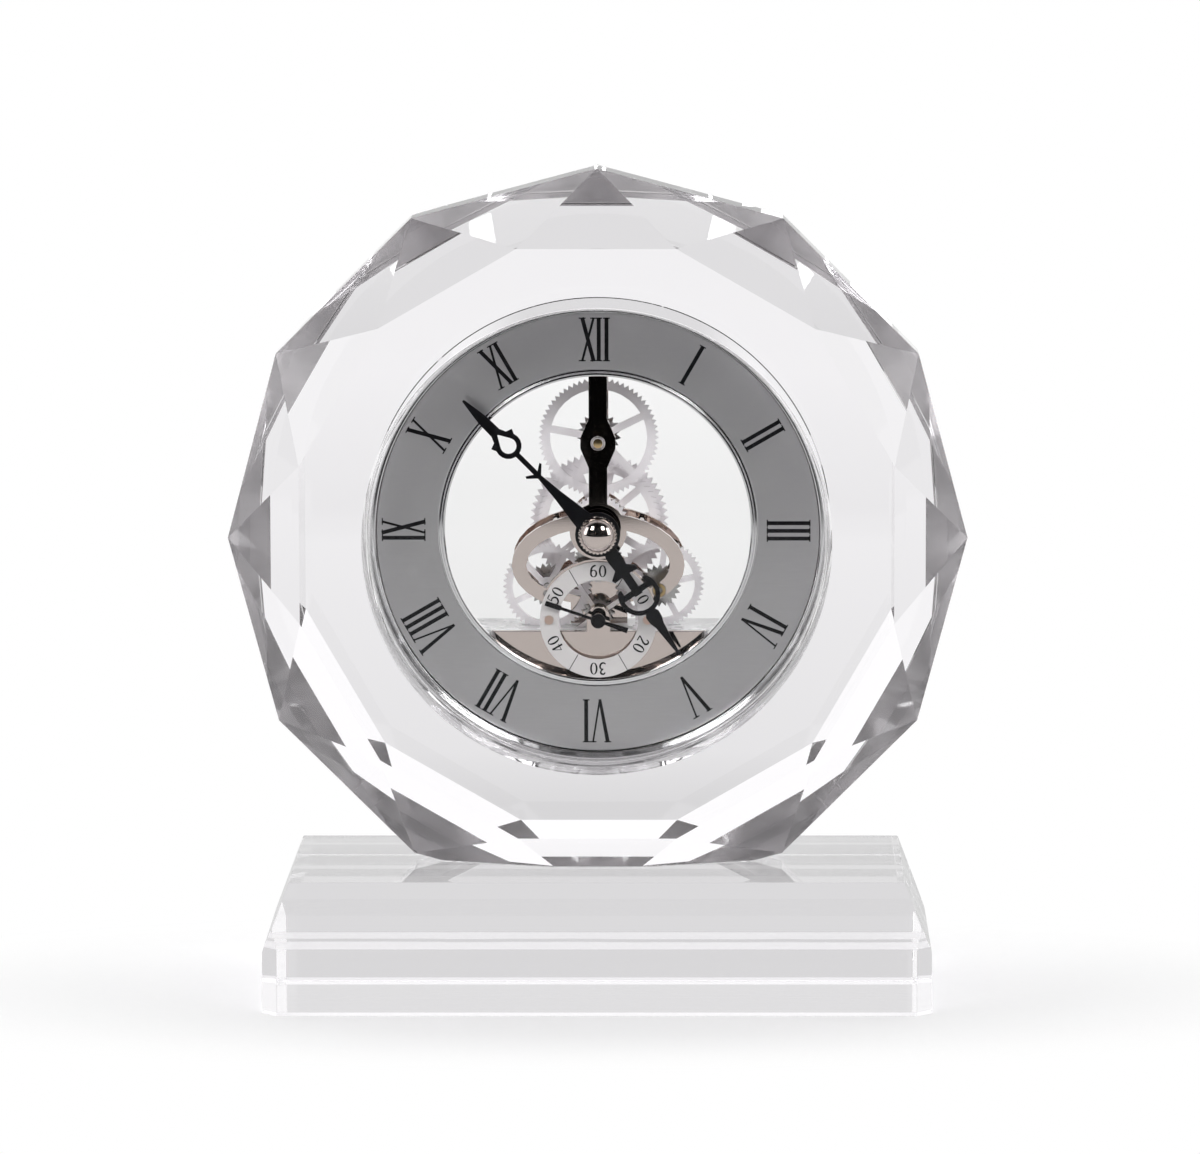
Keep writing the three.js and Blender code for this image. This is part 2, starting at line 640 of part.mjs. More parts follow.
function rearBridge() {
  const [low, high] = [rearBridgeBack, rearBridgeFront];
  const foot = rectangle(-CENTRE_BOSS, -HOUSING_TOP + SEAT_GAP, CENTRE_BOSS, SECONDS.y + 4);
  const oval = cut(
    solid(slab(ovalShape(OVAL_HALF_WIDTH, OVAL_RISE, OVAL_FALL), low, high)),
    ovalWindows(low - 1, high + 1));
  const body = joined(
    oval, solid(slab(foot, low, high)), solid(rod(CENTRE_BOSS, low, high, CENTRE, 24)));
  return cutGeometry(
    body,
    pivotHole(CENTRE, low, high, secondHubRadius + RUN_GAP),
    pivotHole(SECONDS, low, high),
    pivotHole(THIRD, low, high, ARBOR_RADIUS + RUN_GAP),
    pivotHole(RIGHT, low, high));
}

function rearPlate() {
  const [low, high] = [rearPlateBack, rearPlateFront];
  const reach = caseBore - SEAT_GAP - (BAR_WIDTH * BAR_WIDTH) / 8 / caseBore;
  const bar = rectangle(-BAR_WIDTH / 2, -HOUSING_TOP + SEAT_GAP, BAR_WIDTH / 2, reach);
  const body = joined(
    solid(slab(bar, low, high)),
    solid(rod(TOP_BOSS, low, high, TOP, 18)),
    solid(rod(CENTRE_BOSS, low, high, CENTRE, 24)));
  return cutGeometry(
    body,
    pivotHole(CENTRE, low, high, CENTRE_ARBOR_RADIUS + RUN_GAP),
    pivotHole(TOP, low, high));
}

const bushGeometry = (place, pivot) =>
  tube(BUSH_RADIUS, pivot + RUN_GAP, bridgeBack, bridgeFront + SEAT_GAP, 20, place);

put('front_bridge', frontBridge(), chrome);
put('rear_bridge', rearBridge(), chrome);
put('rear_plate', rearPlate(), chrome);
const sidePillar = (place) =>
  rod(PILLAR_RADIUS, rearBridgeFront + SEAT_GAP, bridgeBack - SEAT_GAP, place);
put('pillar_left', sidePillar(pillarPlaces[0]), chrome);
put('pillar_right', sidePillar(pillarPlaces[1]), chrome);
const topPillar = rod(PILLAR_RADIUS, rearPlateFront + SEAT_GAP, bridgeBack - SEAT_GAP, topPillarPlace);
put('pillar_top', topPillar, chrome);
const topPivotRadius = 2 * PIVOT_RADIUS;
put('top_bush', bushGeometry(TOP, topPivotRadius), steel);
put('right_bush', bushGeometry(RIGHT, PIVOT_RADIUS), brass);

// Housing of the motor and battery
function segmentShape(radius, top) {
  const half = Math.acos(top / radius);
  const steps = 18;
  const outline = [];
  for (let i = 0; i <= steps; i += 1) {
    outline.push(polar(radius, -Math.PI / 2 - half + (2 * half * i) / steps));
  }
  return shapeOf(outline);
}

function bottomPlate() {
  const [low, high] = [bottomPlateBack, bottomPlateFront];
  const body = joined(
    solid(slab(segmentShape(BOTTOM_PLATE_RADIUS, HOUSING_TOP), low, high)),
    solid(rod(BOTTOM_PLATE_BOSS, low, high, SECONDS, 24)),
    solid(slab(rectangle(-BOTTOM_PLATE_BOSS, -HOUSING_TOP - 1, BOTTOM_PLATE_BOSS, SECONDS.y), low, high)));
  return cutGeometry(body, pivotHole(SECONDS, low, high, ARBOR_RADIUS + RUN_GAP));
}

const wheelSlot = (gear, layer, thickness) => {
  const [low, high] = [layer - SLOT_GAP, layer + thickness + SLOT_GAP];
  return solid(rod(gear.tip + SLOT_GAP, low, high, gear.place, 28));
};

function housing() {
  const [low, high] = [caseBack, housingLidBack - SEAT_GAP];
  const shell = solid(slab(segmentShape(housingRadius, HOUSING_TOP), low, high));
  const room = segmentShape(housingRadius - HOUSING_WALL, HOUSING_TOP + HOUSING_WALL);
  return cutGeometry(
    shell,
    solid(slab(room, low + HOUSING_WALL, high + 1)),
    solid(slab(hatchShape(0), low - 1, low + HOUSING_WALL + 1)),
    wheelSlot(secondsWheel, secondsLayer, WHEEL_THICKNESS),
    wheelSlot(thirdWheel, thirdLayer, WHEEL_THICKNESS),
    wheelSlot(rightWheel, thirdLayer, WHEEL_THICKNESS),
    wheelSlot(idlerPinion, centred(thirdLayer), PINION_THICKNESS),
    wheelSlot(secondsPinion, centred(thirdLayer), PINION_THICKNESS),
    wheelSlot(idlerWheel, idlerLayer, WHEEL_THICKNESS));
}

function housingLid() {
  const [low, high] = [housingLidBack, housingLidFront];
  const lid = solid(slab(segmentShape(housingRadius, HOUSING_TOP), low, high));
  const postLow = stepLayer + STATOR_THICKNESS + SEAT_GAP;
  const posts = statorPosts.map((place) => solid(rod(STATOR_POST_RADIUS, postLow, high - SEAT_GAP, place)));
  return cutGeometry(joined(lid, ...posts), pivotHole(IDLER, low, high), pivotHole(ROTOR, low, high));
}

function stator() {
  const coreTop = COIL.y + STATOR_CORE;
  const armLow = armHigh - STATOR_RETURN;
  const headTop = -HOUSING_TOP - HOUSING_WALL - SEAT_GAP;
  const headEnd = ROTOR.x + ROTOR_RADIUS + STATOR_SIDE;
  const loop = shapeOf([
    point(coreTail, armLow), point(headEnd, armLow), point(headEnd, headTop), point(coreRight, headTop),
    point(coreRight, coreTop), point(coreTail, coreTop),
  ]);
  const gap = rectangle(coreLeft, armHigh, coreRight, COIL.y - STATOR_CORE);
  const [low, high] = [stepLayer, stepLayer + STATOR_THICKNESS];
  return cutGeometry(
    solid(slab(loop, low, high)),
    solid(slab(gap, low - 1, high + 1)),
    pivotHole(ROTOR, low, high, ROTOR_RADIUS + RUN_GAP));
}

function coil() {
  return tube(COIL_RADIUS, COIL_BORE, -COIL_LENGTH / 2, COIL_LENGTH / 2, 16)
    .rotateY(Math.PI / 2)
    .translate(COIL.x, COIL.y, stepMid);
}

function circuitBoard() {
  const [x, y] = [BOARD_WIDTH / 2, BOARD_HEIGHT / 2];
  const outline = rectangle(BOARD.x - x, BOARD.y - y, BOARD.x + x, BOARD.y + y);
  return slab(outline, housingLidBack - SEAT_GAP - BOARD_THICKNESS, housingLidBack - SEAT_GAP);
}

function battery() {
  const half = BATTERY_LENGTH / 2;
  const shoulder = half - BATTERY_NUB_LENGTH;
  const edge = BATTERY_RADIUS - BATTERY_EDGE;
  const profile = [
    [0, -half], [edge, -half], [BATTERY_RADIUS, -half + BATTERY_EDGE],
    [BATTERY_RADIUS, shoulder - BATTERY_EDGE], [edge, shoulder],
    [BATTERY_NUB_RADIUS, shoulder], [BATTERY_NUB_RADIUS, half], [0, half],
  ];
  return turned(profile, 24).rotateY(Math.PI / 2).translate(0, -batteryDrop, batteryZ);
}

function contact(side) {
  const inner = BATTERY_LENGTH / 2 + SEAT_GAP;
  const edges = [side * inner, side * (inner + CONTACT_THICKNESS)];
  const half = CONTACT_SIZE / 2;
  const [left, right] = [Math.min(...edges), Math.max(...edges)];
  const low = caseBack + HOUSING_WALL + SEAT_GAP;
  return slab(rectangle(left, -batteryDrop - half, right, -batteryDrop + half), low, low + CONTACT_SIZE);
}

function hatch() {
  const [side, top] = [hatchWidth / 8, -batteryDrop + hatchHeight / 2 - RUN_GAP - HATCH_GRIP];
  const grip = rectangle(-side, top - HATCH_GRIP, side, top);
  return cutGeometry(
    solid(slab(hatchShape(RUN_GAP), coverBack, coverFront)),
    solid(slab(grip, coverBack - 1, coverBack + COVER_THICKNESS / 2)));
}

put('bottom_plate', bottomPlate(), chrome);
put('movement_housing', housing(), white);
put('housing_lid', housingLid(), white);
put('stator', stator(), steel);
put('coil', coil(), winding);
put('circuit_board', circuitBoard(), green);
put('battery', battery(), cell);
put('contact_left', contact(-1), steel);
put('contact_right', contact(1), steel);
put('battery_hatch', hatch(), white);

// Arbors: a rod with pivots at its ends, its pinion and a seat under each wheel
function arbor({ place, low, high, pinion, pinionLow, lowPivot, highPivot, frontRadius = PIVOT_RADIUS }) {
  const profile = [
    [0, low], [PIVOT_RADIUS, low], [PIVOT_RADIUS, lowPivot], [ARBOR_RADIUS, lowPivot],
    [ARBOR_RADIUS, highPivot], [frontRadius, highPivot], [frontRadius, high], [0, high],
  ];
  const shaft = solid(turned(profile, 12, place));
  const teeth = solid(slab(shapeOf(gearPoints(pinion)), pinionLow, pinionLow + PINION_THICKNESS));
  return geometryOf(joined(shaft, teeth));
}

const wheelBore = ARBOR_RADIUS + SEAT_GAP / 2;

// Seconds arbor: turned by the right-hand pinion, and turns the third wheel
const secondsPinionLow = centred(thirdLayer);
const secondsTip = SECONDS_HAND_LIFT + HAND_THICKNESS;
const secondsArbor = arbor({
  place: SECONDS,
  low: rearBridgeBack,
  high: secondsTip,
  pinion: secondsPinion,
  pinionLow: secondsPinionLow,
  lowPivot: rearBridgeFront + SEAT_GAP,
  highPivot: secondsDialFront,
});
put('seconds_arbor', secondsArbor, steel);
const secondsSpokes = { bore: wheelBore, hub: 2.4, rim: 1.2, spokes: 4, width: 1, turn: 0.6 };
put('seconds_wheel', spokedWheel(secondsWheel, secondsSpokes, secondsLayer), satin);
put('seconds_collet', tube(2.4, wheelBore, secondsLayer + WHEEL_THICKNESS + SEAT_GAP,
  bottomPlateBack - LAYER_GAP, 16, SECONDS), brass);

// Third wheel, left of the seconds ring
put('third_arbor', arbor({
  place: THIRD,
  low: secondLayer - LAYER_GAP,
  high: bridgeFront,
  pinion: thirdPinion,
  pinionLow: centred(secondLayer),
  lowPivot: secondLayer - LAYER_GAP / 2,
  highPivot: bridgeBack - SEAT_GAP,
}), steel);
const thirdSpokes = { bore: wheelBore, hub: 2.2, rim: 1.3, spokes: 5, width: 1.3, turn: degrees(-155) };
put('third_wheel', spokedWheel(thirdWheel, thirdSpokes, thirdLayer), satin);

// Right wheel, between the motor and the seconds arbor
put('right_arbor', arbor({
  place: RIGHT,
  low: rearBridgeBack,
  high: bridgeFront,
  pinion: rightPinion,
  pinionLow: centred(secondsLayer),
  lowPivot: rearBridgeFront + SEAT_GAP,
  highPivot: bridgeBack - SEAT_GAP,
}), steel);
const rightSpokes = { bore: wheelBore, hub: 2.2, rim: 1.3, spokes: 5, width: 1.3, turn: degrees(-62) };
put('right_wheel', spokedWheel(rightWheel, rightSpokes, thirdLayer), satin);

// Second wheel and its pinion, which turn freely round the centre arbor
const secondHubLow = secondLayer - LAYER_GAP;
const runningBore = CENTRE_ARBOR_RADIUS + RUN_GAP;

function secondPinionGeometry() {
  const teeth = solid(slab(disc(secondPinion, runningBore), thirdLayer, thirdLayer + WHEEL_THICKNESS));
  const hub = solid(tube(secondHubRadius, runningBore, secondHubLow, thirdLayer + 0.1, SMALL_SIDES));
  return geometryOf(joined(teeth, hub));
}

put('second_pinion', secondPinionGeometry(), satin);
const secondSpokes = {
  bore: secondHubRadius + SEAT_GAP / 2, hub: 4.4, rim: 1.5, spokes: 5, width: 1.6, turn: degrees(40),
};
put('second_wheel', spokedWheel(secondWheel, secondSpokes, secondLayer), satin);

// Top wheel
put('top_arbor', arbor({
  place: TOP,
  low: rearPlateBack,
  high: bridgeFront + SEAT_GAP,
  pinion: topPinion,
  pinionLow: centred(centreLayer),
  lowPivot: rearPlateFront + SEAT_GAP,
  highPivot: bridgeBack - SEAT_GAP,
  frontRadius: topPivotRadius,
}), brass);
const topSpokes = { bore: wheelBore, hub: 2.6, rim: 1.7, spokes: 5, width: 1.6, turn: degrees(26) };
put('top_wheel', spokedWheel(topWheel, topSpokes, thirdLayer), satin);

// Centre arbor with its wheel, the cannon pinion and the setting knob
const centreTip = HOUR_HAND_LIFT + 2 * HAND_THICKNESS + HAND_STEP + 2;
const knobBack = coverBack - SEAT_GAP - KNOB_THICKNESS;
const centreTail = knobBack + KNOB_THICKNESS / 3;
const hourHandTop = HOUR_HAND_LIFT + HAND_THICKNESS;
const minuteHandLow = hourHandTop + HAND_STEP;
const nutLow = minuteHandLow + HAND_THICKNESS + SEAT_GAP;

put('centre_arbor', rod(CENTRE_ARBOR_RADIUS, centreTail, centreTip), steel);
const centreBore = CENTRE_ARBOR_RADIUS + SEAT_GAP / 2;
const centreSpokes = { bore: centreBore, hub: 3.2, rim: 1.6, spokes: 5, width: 1.7, turn: degrees(5) };
put('centre_wheel', spokedWheel(centreWheel, centreSpokes, centreLayer), satin);
const cannonShape = disc(cannonPinion, centreBore, 8);
put('cannon_pinion', slab(cannonShape, motionLayer, motionLayer + WHEEL_THICKNESS), steel);

function scallopPoints(radius, count, depth) {
  const outline = [];
  for (let i = 0; i < 2 * count; i += 1) {
    outline.push(polar(i % 2 ? radius : radius - depth, (Math.PI * i) / count));
  }
  return outline;
}

function setKnob() {
  const shaftHigh = coverFront + SEAT_GAP;
  const headHigh = coverBack - SEAT_GAP;
  const head = slab(shapeOf(scallopPoints(KNOB_RADIUS, KNOB_GRIPS, 0.4)), knobBack, headHigh);
  const shaft = rod(pipeRadius, headHigh - 0.5, shaftHigh);
  const bore = rod(centreBore, centreTail - SEAT_GAP, shaftHigh + 1);
  return cutGeometry(joined(solid(head), solid(shaft)), solid(bore));
}

put('set_knob', setKnob(), black);

// Motion work
const studBore = PIVOT_RADIUS + SEAT_GAP + RUN_GAP;
const layerMid = (layer) => layer + WHEEL_THICKNESS / 2;

function minuteGeometry() {
  const wheel = slab(disc(minuteWheel, studBore), motionLayer, motionLayer + WHEEL_THICKNESS);
  const pinion = slab(disc(minutePinion, studBore), layerMid(motionLayer), hourLayer + WHEEL_THICKNESS);
  return geometryOf(joined(solid(wheel), solid(pinion)));
}

function hourGeometry() {
  const wheel = slab(disc(hourWheel, runningBore), hourLayer, hourLayer + WHEEL_THICKNESS);
  const pipe = tube(pipeRadius, runningBore, layerMid(hourLayer), hourHandTop + SEAT_GAP, SMALL_SIDES);
  return geometryOf(joined(solid(wheel), solid(pipe)));
}

put('minute_wheel', minuteGeometry(), steel);
put('hour_wheel', hourGeometry(), steel);

// Motor wheels
function idlerGeometry() {
  const low = centred(thirdLayer);
  const shaft = solid(rod(PIVOT_RADIUS, low - SEAT_GAP, housingLidFront - SEAT_GAP, IDLER, 10));
  const pinion = solid(slab(shapeOf(gearPoints(idlerPinion)), low, low + PINION_THICKNESS));
  const wheel = solid(slab(shapeOf(gearPoints(idlerWheel)), idlerLayer, idlerLayer + WHEEL_THICKNESS));
  return geometryOf(joined(shaft, pinion, wheel));
}

function rotorGeometry() {
  const top = housingLidFront - SEAT_GAP;
  const shaft = solid(rod(ROTOR_PIVOT_RADIUS, stepMid, top, ROTOR, 10));
  const magnet = solid(rod(ROTOR_RADIUS, stepLayer, stepLayer + STATOR_THICKNESS, ROTOR, 20));
  const pinion = solid(slab(shapeOf(gearPoints(rotorPinion)), stepMid, idlerLayer + WHEEL_THICKNESS));
  return geometryOf(joined(shaft, magnet, pinion));
}

put('idler_wheel', idlerGeometry(), satin);
put('rotor', rotorGeometry(), steel);

// Hands: outlines that point up from the axis, turned to the time
function handGeometry(body, bore, low, high, angle, place = CENTRE) {
  const hole = solid(rod(bore, low - 1, high, CENTRE, SMALL_SIDES));
  return cutGeometry(body, hole).rotateZ(-degrees(angle)).translate(place.x, place.y, 0);
}

function minuteHand() {
  const low = minuteHandLow;
  const high = low + HAND_THICKNESS;
  const up = (share) => share * MINUTE_HAND_LENGTH;
  const ring = { x: 0, y: up(0.663) };
  const [ringOuter, ringInner] = [2.85, 1.75];
  const hubRadius = 4.9;
  const [root, waist, neck] = [2.2, 0.5, 0.55];
  const [thorn, shoulder, leaf, tip] = [2.3, 3.15, 1.2, 0.25];
  const arm = shapeOf(mirrored([
    point(root, up(0.092)), point(2 * waist, up(0.3)), point(waist, up(0.432)), point(thorn, up(0.473)),
    point(thorn - 0.2, up(0.485)), point(neck, up(0.461)), point(neck, ring.y),
  ]));
  const spear = shapeOf(mirrored([
    point(0.5 * shoulder, ring.y), point(shoulder - 0.4, up(0.692)), point(shoulder, up(0.714)),
    point(1.5 * leaf, up(0.726)), point(leaf, up(0.76)), point(leaf - 0.1, up(0.862)), point(tip, up(1)),
  ]));
  const drop = shapeOf(mirrored([point(1.5, up(0.685)), point(0.1, up(0.743))]));
  const body = joined(
    solid(rod(hubRadius, low, high, CENTRE, 24)),
    solid(slab(arm, low, high)),
    solid(rod(ringOuter, low, high, ring, 20)),
    solid(slab(spear, low, high)));
  const holes = [
    solid(rod(ringInner, low - 1, high + 1, ring, 16)),
    solid(slab(drop, low - 1, high + 1)),
  ];
  return handGeometry(cut(body, ...holes), centreBore, low, high + 1, MINUTE_ANGLE);
}

function hourHand() {
  const low = HOUR_HAND_LIFT;
  const high = low + HAND_THICKNESS;
  const up = (share) => share * HOUR_HAND_LENGTH;
  const ring = { x: 0, y: up(0.5) };
  const [ringOuter, ringInner] = [4.6, 3.6];
  const hubRadius = 4.4;
  const [root, neck, thorn, leaf, tip] = [1.3, 0.95, 3.2, 1.6, 0.2];
  const arm = shapeOf(mirrored([
    point(root, up(0.118)), point(root + 0.35, up(0.202)), point(root + 0.15, up(0.277)),
    point(thorn, up(0.321)), point(thorn - 0.3, up(0.346)), point(neck, up(0.34)), point(neck, ring.y),
  ]));
  const spear = shapeOf(mirrored([
    point(leaf - 0.6, ring.y + 0.9 * ringOuter), point(leaf, up(0.66)), point(leaf - 0.1, up(0.71)),
    point(leaf - 0.55, up(0.748)), point(tip, up(1)),
  ]));
  const reach = ringOuter + 1;
  const outer = solid(rod(ringOuter, low, high, ring, 24));
  const inner = solid(rod(ringInner, low - 1, high + 1, ring, 20));
  const upper = solid(slab(rectangle(-reach, ring.y - 0.3, reach, ring.y + reach), low - 2, high + 2));
  const capTop = ring.y - 0.8 * ringInner;
  const cap = solid(slab(rectangle(-reach, ring.y - reach, reach, capTop), low - 1, high + 1));
  const slots = [-1, 1].map((side) => {
    const [near, far] = [side * neck, side * (neck + 1.85)];
    const [left, right] = [Math.min(near, far), Math.max(near, far)];
    const top = ring.y - 0.35 * ringOuter;
    return solid(slab(rectangle(left, ring.y - reach, right, top), low - 1, high + 1));
  });
  const crescent = cut(outer, inner.intersect(upper), cap, ...slots);
  const body = joined(
    solid(rod(hubRadius, low, high, CENTRE, 24)), solid(slab(arm, low, high)), crescent,
    solid(slab(spear, low, high)));
  return handGeometry(body, pipeRadius + SEAT_GAP / 2, low, high + 1, HOUR_ANGLE);
}

// The seconds hand's hub is a cap that is closed over the end of its arbor
function secondsHand() {
  const low = SECONDS_HAND_LIFT;
  const high = low + HAND_THICKNESS;
  const length = SECONDS_HAND_LENGTH;
  const [arm, paddle, tail] = [0.32, 0.55, 0.6];
  const paddleLow = 0.73 * length;
  const boreHigh = secondsTip + SEAT_GAP;
  const tailShape = shapeOf(mirrored([point(tail, -SECONDS_HAND_TAIL), point(arm, 0)]));
  const body = joined(
    solid(rod(SECONDS_HAND_HUB, low, boreHigh + SECONDS_HAND_CAP, CENTRE, 20)),
    solid(slab(rectangle(-arm, 0, arm, paddleLow), low, high)),
    solid(slab(rectangle(-paddle, paddleLow - arm, paddle, length), low, high)),
    solid(slab(tailShape, low, high)));
  return handGeometry(body, PIVOT_RADIUS + SEAT_GAP / 2, low, boreHigh, SECONDS_ANGLE, SECONDS);
}

function domeNut() {
  const rimHigh = nutLow + NUT_RIM;
  const rim = solid(slab(shapeOf(scallopPoints(NUT_RADIUS, NUT_SCALLOPS, 0.3)), nutLow, rimHigh));
  const domeRadius = NUT_RADIUS - 0.5;
  const profile = [[0, nutLow + 0.3]];
  for (let i = 0; i <= 6; i += 1) {
    const angle = (Math.PI * i) / 12;
    profile.push([domeRadius * Math.cos(angle), rimHigh - 0.1 + 0.62 * domeRadius * Math.sin(angle)]);
  }
  profile[profile.length - 1][0] = 0;
  profile.splice(1, 0, [domeRadius, nutLow + 0.3]);
  const bore = solid(rod(centreBore, nutLow - 1, centreTip + SEAT_GAP));
  return cutGeometry(joined(rim, solid(turned(profile, 24))), bore);
}

put('seconds_hand', secondsHand(), black);
put('hour_hand', hourHand(), black);
put('minute_hand', minuteHand(), black);
put('dome_nut', domeNut(), chrome);

export default clock;
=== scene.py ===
import json
import math

import bmesh
import bpy
from mathutils import Matrix, Vector

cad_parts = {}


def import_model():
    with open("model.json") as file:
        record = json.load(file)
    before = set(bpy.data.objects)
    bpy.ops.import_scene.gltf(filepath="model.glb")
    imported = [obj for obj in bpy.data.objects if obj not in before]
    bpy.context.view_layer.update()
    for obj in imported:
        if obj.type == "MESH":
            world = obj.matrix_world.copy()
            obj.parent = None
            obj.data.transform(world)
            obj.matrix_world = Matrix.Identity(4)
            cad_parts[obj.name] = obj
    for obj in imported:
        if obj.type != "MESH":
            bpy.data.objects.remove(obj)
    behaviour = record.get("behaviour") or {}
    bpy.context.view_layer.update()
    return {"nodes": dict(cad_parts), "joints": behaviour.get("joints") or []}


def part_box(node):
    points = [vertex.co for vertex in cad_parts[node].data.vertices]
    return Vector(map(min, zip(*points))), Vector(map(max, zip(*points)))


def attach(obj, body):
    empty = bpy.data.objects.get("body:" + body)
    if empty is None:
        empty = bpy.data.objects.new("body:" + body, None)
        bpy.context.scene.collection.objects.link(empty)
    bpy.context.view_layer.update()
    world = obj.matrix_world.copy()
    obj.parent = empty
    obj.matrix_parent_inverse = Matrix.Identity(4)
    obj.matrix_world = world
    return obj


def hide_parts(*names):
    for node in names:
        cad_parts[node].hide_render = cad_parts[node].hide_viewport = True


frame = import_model()
nodes = frame["nodes"]
scene = bpy.context.scene

# The insert's own frame, in millimetres: x right, y up, z from the dial's face towards the viewer
MM = 0.001
ON_AXIS = 1e-6
pivots = {joint["name"]: joint["pos_m"] for joint in frame["joints"] if "pos_m" in joint}
DIAL_Y = pivots["minute_turn"][1] / MM
CENTRE_Z = pivots["minute_turn"][2] / MM


def arbor_place(joint):
    return pivots[joint][0] / MM, pivots[joint][2] / MM - CENTRE_Z


def reach_of(node):
    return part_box(node)[1].x / MM


# Where the arbors stand
CENTRE = (0, 0)
SECONDS = arbor_place("seconds_turn")
THIRD = arbor_place("third_turn")
RIGHT = arbor_place("right_turn")
TOP = arbor_place("top_turn")
IDLER = arbor_place("idler_turn")

# The crystal's cut, the same as in the CAD
CRYSTAL_SIDES = 12
CRYSTAL_RADIUS, TABLE_RADIUS = 80, 66.1
CRYSTAL_HALF, GIRDLE_HALF = 17.5, 5
CRYSTAL_FOOT, CRYSTAL_BACKSET = 71, 2
CRYSTAL_Z = 100.1
BORE_RADIUS = reach_of("gasket_ring") + 0.2
BORE_EDGE = 0.1
DRILL_OVERRUN = 1

# The insert's rings: radii, then heights over the dial's face
CASE_RADIUS = reach_of("case_ring")
LENS_RADIUS = reach_of("front_lens")
LENS_WALL = 0.8
LENS_FRONT, LENS_INSIDE, LENS_BACK = 9.6, 8.0, 1.4
BEZEL_WIDTH = 3
BEZEL_FRONT, BEZEL_SHELF, BEZEL_BACK = 1.2, -1.2, -4
GASKET_FRONT, GASKET_BACK = -9, -12
GASKET_RIBS, RIB_HEIGHT = 3, 0.25
DIAL_OUTER = reach_of("dial_ring")
DIAL_THICKNESS = 1

# The opening in the dial, which the photograph shows a little above the dial's own centre
OPENING_CENTRE = (0, 0.9)
OPENING_OUTER = reach_of("dial_lip") - 0.25
OPENING_INNER = OPENING_OUTER - 1.5
BEAD_WIDTH = 0.85
LIP_FRONT, LIP_LEDGE, LIP_BACK = 0.6, -0.5, -1.5

# The small seconds ring
SECONDS_OUTER = reach_of("seconds_dial")
SECONDS_INNER = 8.7
SECONDS_FACE, SECONDS_BACK = -0.7, -1.5
SECONDS_FIGURES, FIGURE_STEP = 10.7, 1.95
DIVIDER_START, DIVIDER_END, DIVIDER_WIDTH = 8.75, 12.65, 0.16


def at(x, y, z):
    """The scene's place of a point in the insert's own frame."""
    return Vector((x, DIAL_Y - z, CENTRE_Z + y)) * MM


def around(place, radius, turn):
    """The point at a radius and an angle round a place."""
    return place[0] + radius * math.cos(turn), place[1] + radius * math.sin(turn)


# Shader trees
def wire(tree, kind, sockets=None, **settings):
    node = tree.nodes.new(kind)
    for key, value in settings.items():
        setattr(node, key, value)
    for key, value in (sockets or {}).items():
        socket = node.inputs[key]
        if isinstance(value, bpy.types.NodeSocket):
            tree.links.new(value, socket)
        else:
            socket.default_value = value
    return node


def math_node(tree, operation, *values):
    return wire(tree, "ShaderNodeMath", dict(enumerate(values)), operation=operation).outputs[0]


def vector_node(tree, operation, *values):
    node = wire(tree, "ShaderNodeVectorMath", dict(enumerate(values)), operation=operation)
    return node.outputs["Value" if operation == "LENGTH" else "Vector"]


def ramp(tree, value, start, end, low=0.0, high=1.0, shape="LINEAR"):
    """A value that goes from low to high while another goes from start to end."""
    sockets = {"Value": value, "From Min": start, "From Max": end, "To Min": low, "To Max": high}
    return wire(tree, "ShaderNodeMapRange", sockets, interpolation_type=shape).outputs[0]


def spread(tree, value, low, high):
    """A mask from 0 to 1, stretched to another range."""
    return ramp(tree, value, 0.0, 1.0, low, high)


def blend(tree, share, low, high):
    """A colour between two, by a mask from 0 to 1."""
    return wire(tree, "ShaderNodeMix", {0: share, 6: low, 7: high}, data_type="RGBA").outputs[2]


def split(tree, vector):
    return wire(tree, "ShaderNodeSeparateXYZ", {"Vector": vector}).outputs


def noise(tree, vector, scale, detail=3.0, roughness=0.55):
    sockets = {"Vector": vector, "Scale": scale, "Detail": detail, "Roughness": roughness}
    return wire(tree, "ShaderNodeTexNoise", sockets).outputs["Fac"]


def node_group(name, inputs, outputs):
    tree = bpy.data.node_groups.new(name, "ShaderNodeTree")
    for label, value in inputs:
        kind = "NodeSocketVector" if isinstance(value, tuple) else "NodeSocketFloat"
        socket = tree.interface.new_socket(label, in_out="INPUT", socket_type=kind)
        socket.default_value = value
    for label in outputs:
        kind = "NodeSocketVector" if label == "Normal" else "NodeSocketFloat"
        tree.interface.new_socket(label, in_out="OUTPUT", socket_type=kind)
    return tree, tree.nodes.new("NodeGroupInput").outputs


def finish_group(tree, height, distance, depth, shade, roughness):
    """Close a surface group: its tone, its roughness, and the normal of its relief."""
    normal = wire(tree, "ShaderNodeBump", {"Height": height, "Distance": distance, "Strength": depth})
    wire(tree, "NodeGroupOutput", {"Shade": shade, "Roughness": roughness, "Normal": normal.outputs[0]})
    return tree


def mean(tree, first, second, share):
    """Two masks added by their shares."""
    return math_node(tree, "ADD", math_node(tree, "MULTIPLY", first, share),
                     math_node(tree, "MULTIPLY", second, 1 - share))


def grain_group():
    """Fine straight brushing along x, with slow changes of tone."""
    inputs = [("Vector", (0.0, 0.0, 0.0)), ("Fineness", 2500.0), ("Roughness", 0.35), ("Depth", 0.15)]
    tree, given = node_group("straight_grain", inputs, ["Shade", "Roughness", "Normal"])
    stretched = vector_node(tree, "MULTIPLY", given["Vector"], (0.06, 1.0, 1.0))
    lines = noise(tree, stretched, given["Fineness"], 4.0, 0.7)
    cloud = noise(tree, given["Vector"], 60.0)
    shade = mean(tree, lines, cloud, 0.6)
    rough = math_node(tree, "ADD", given["Roughness"], spread(tree, shade, -0.05, 0.05))
    return finish_group(tree, lines, 0.02 * MM, given["Depth"], shade, rough)


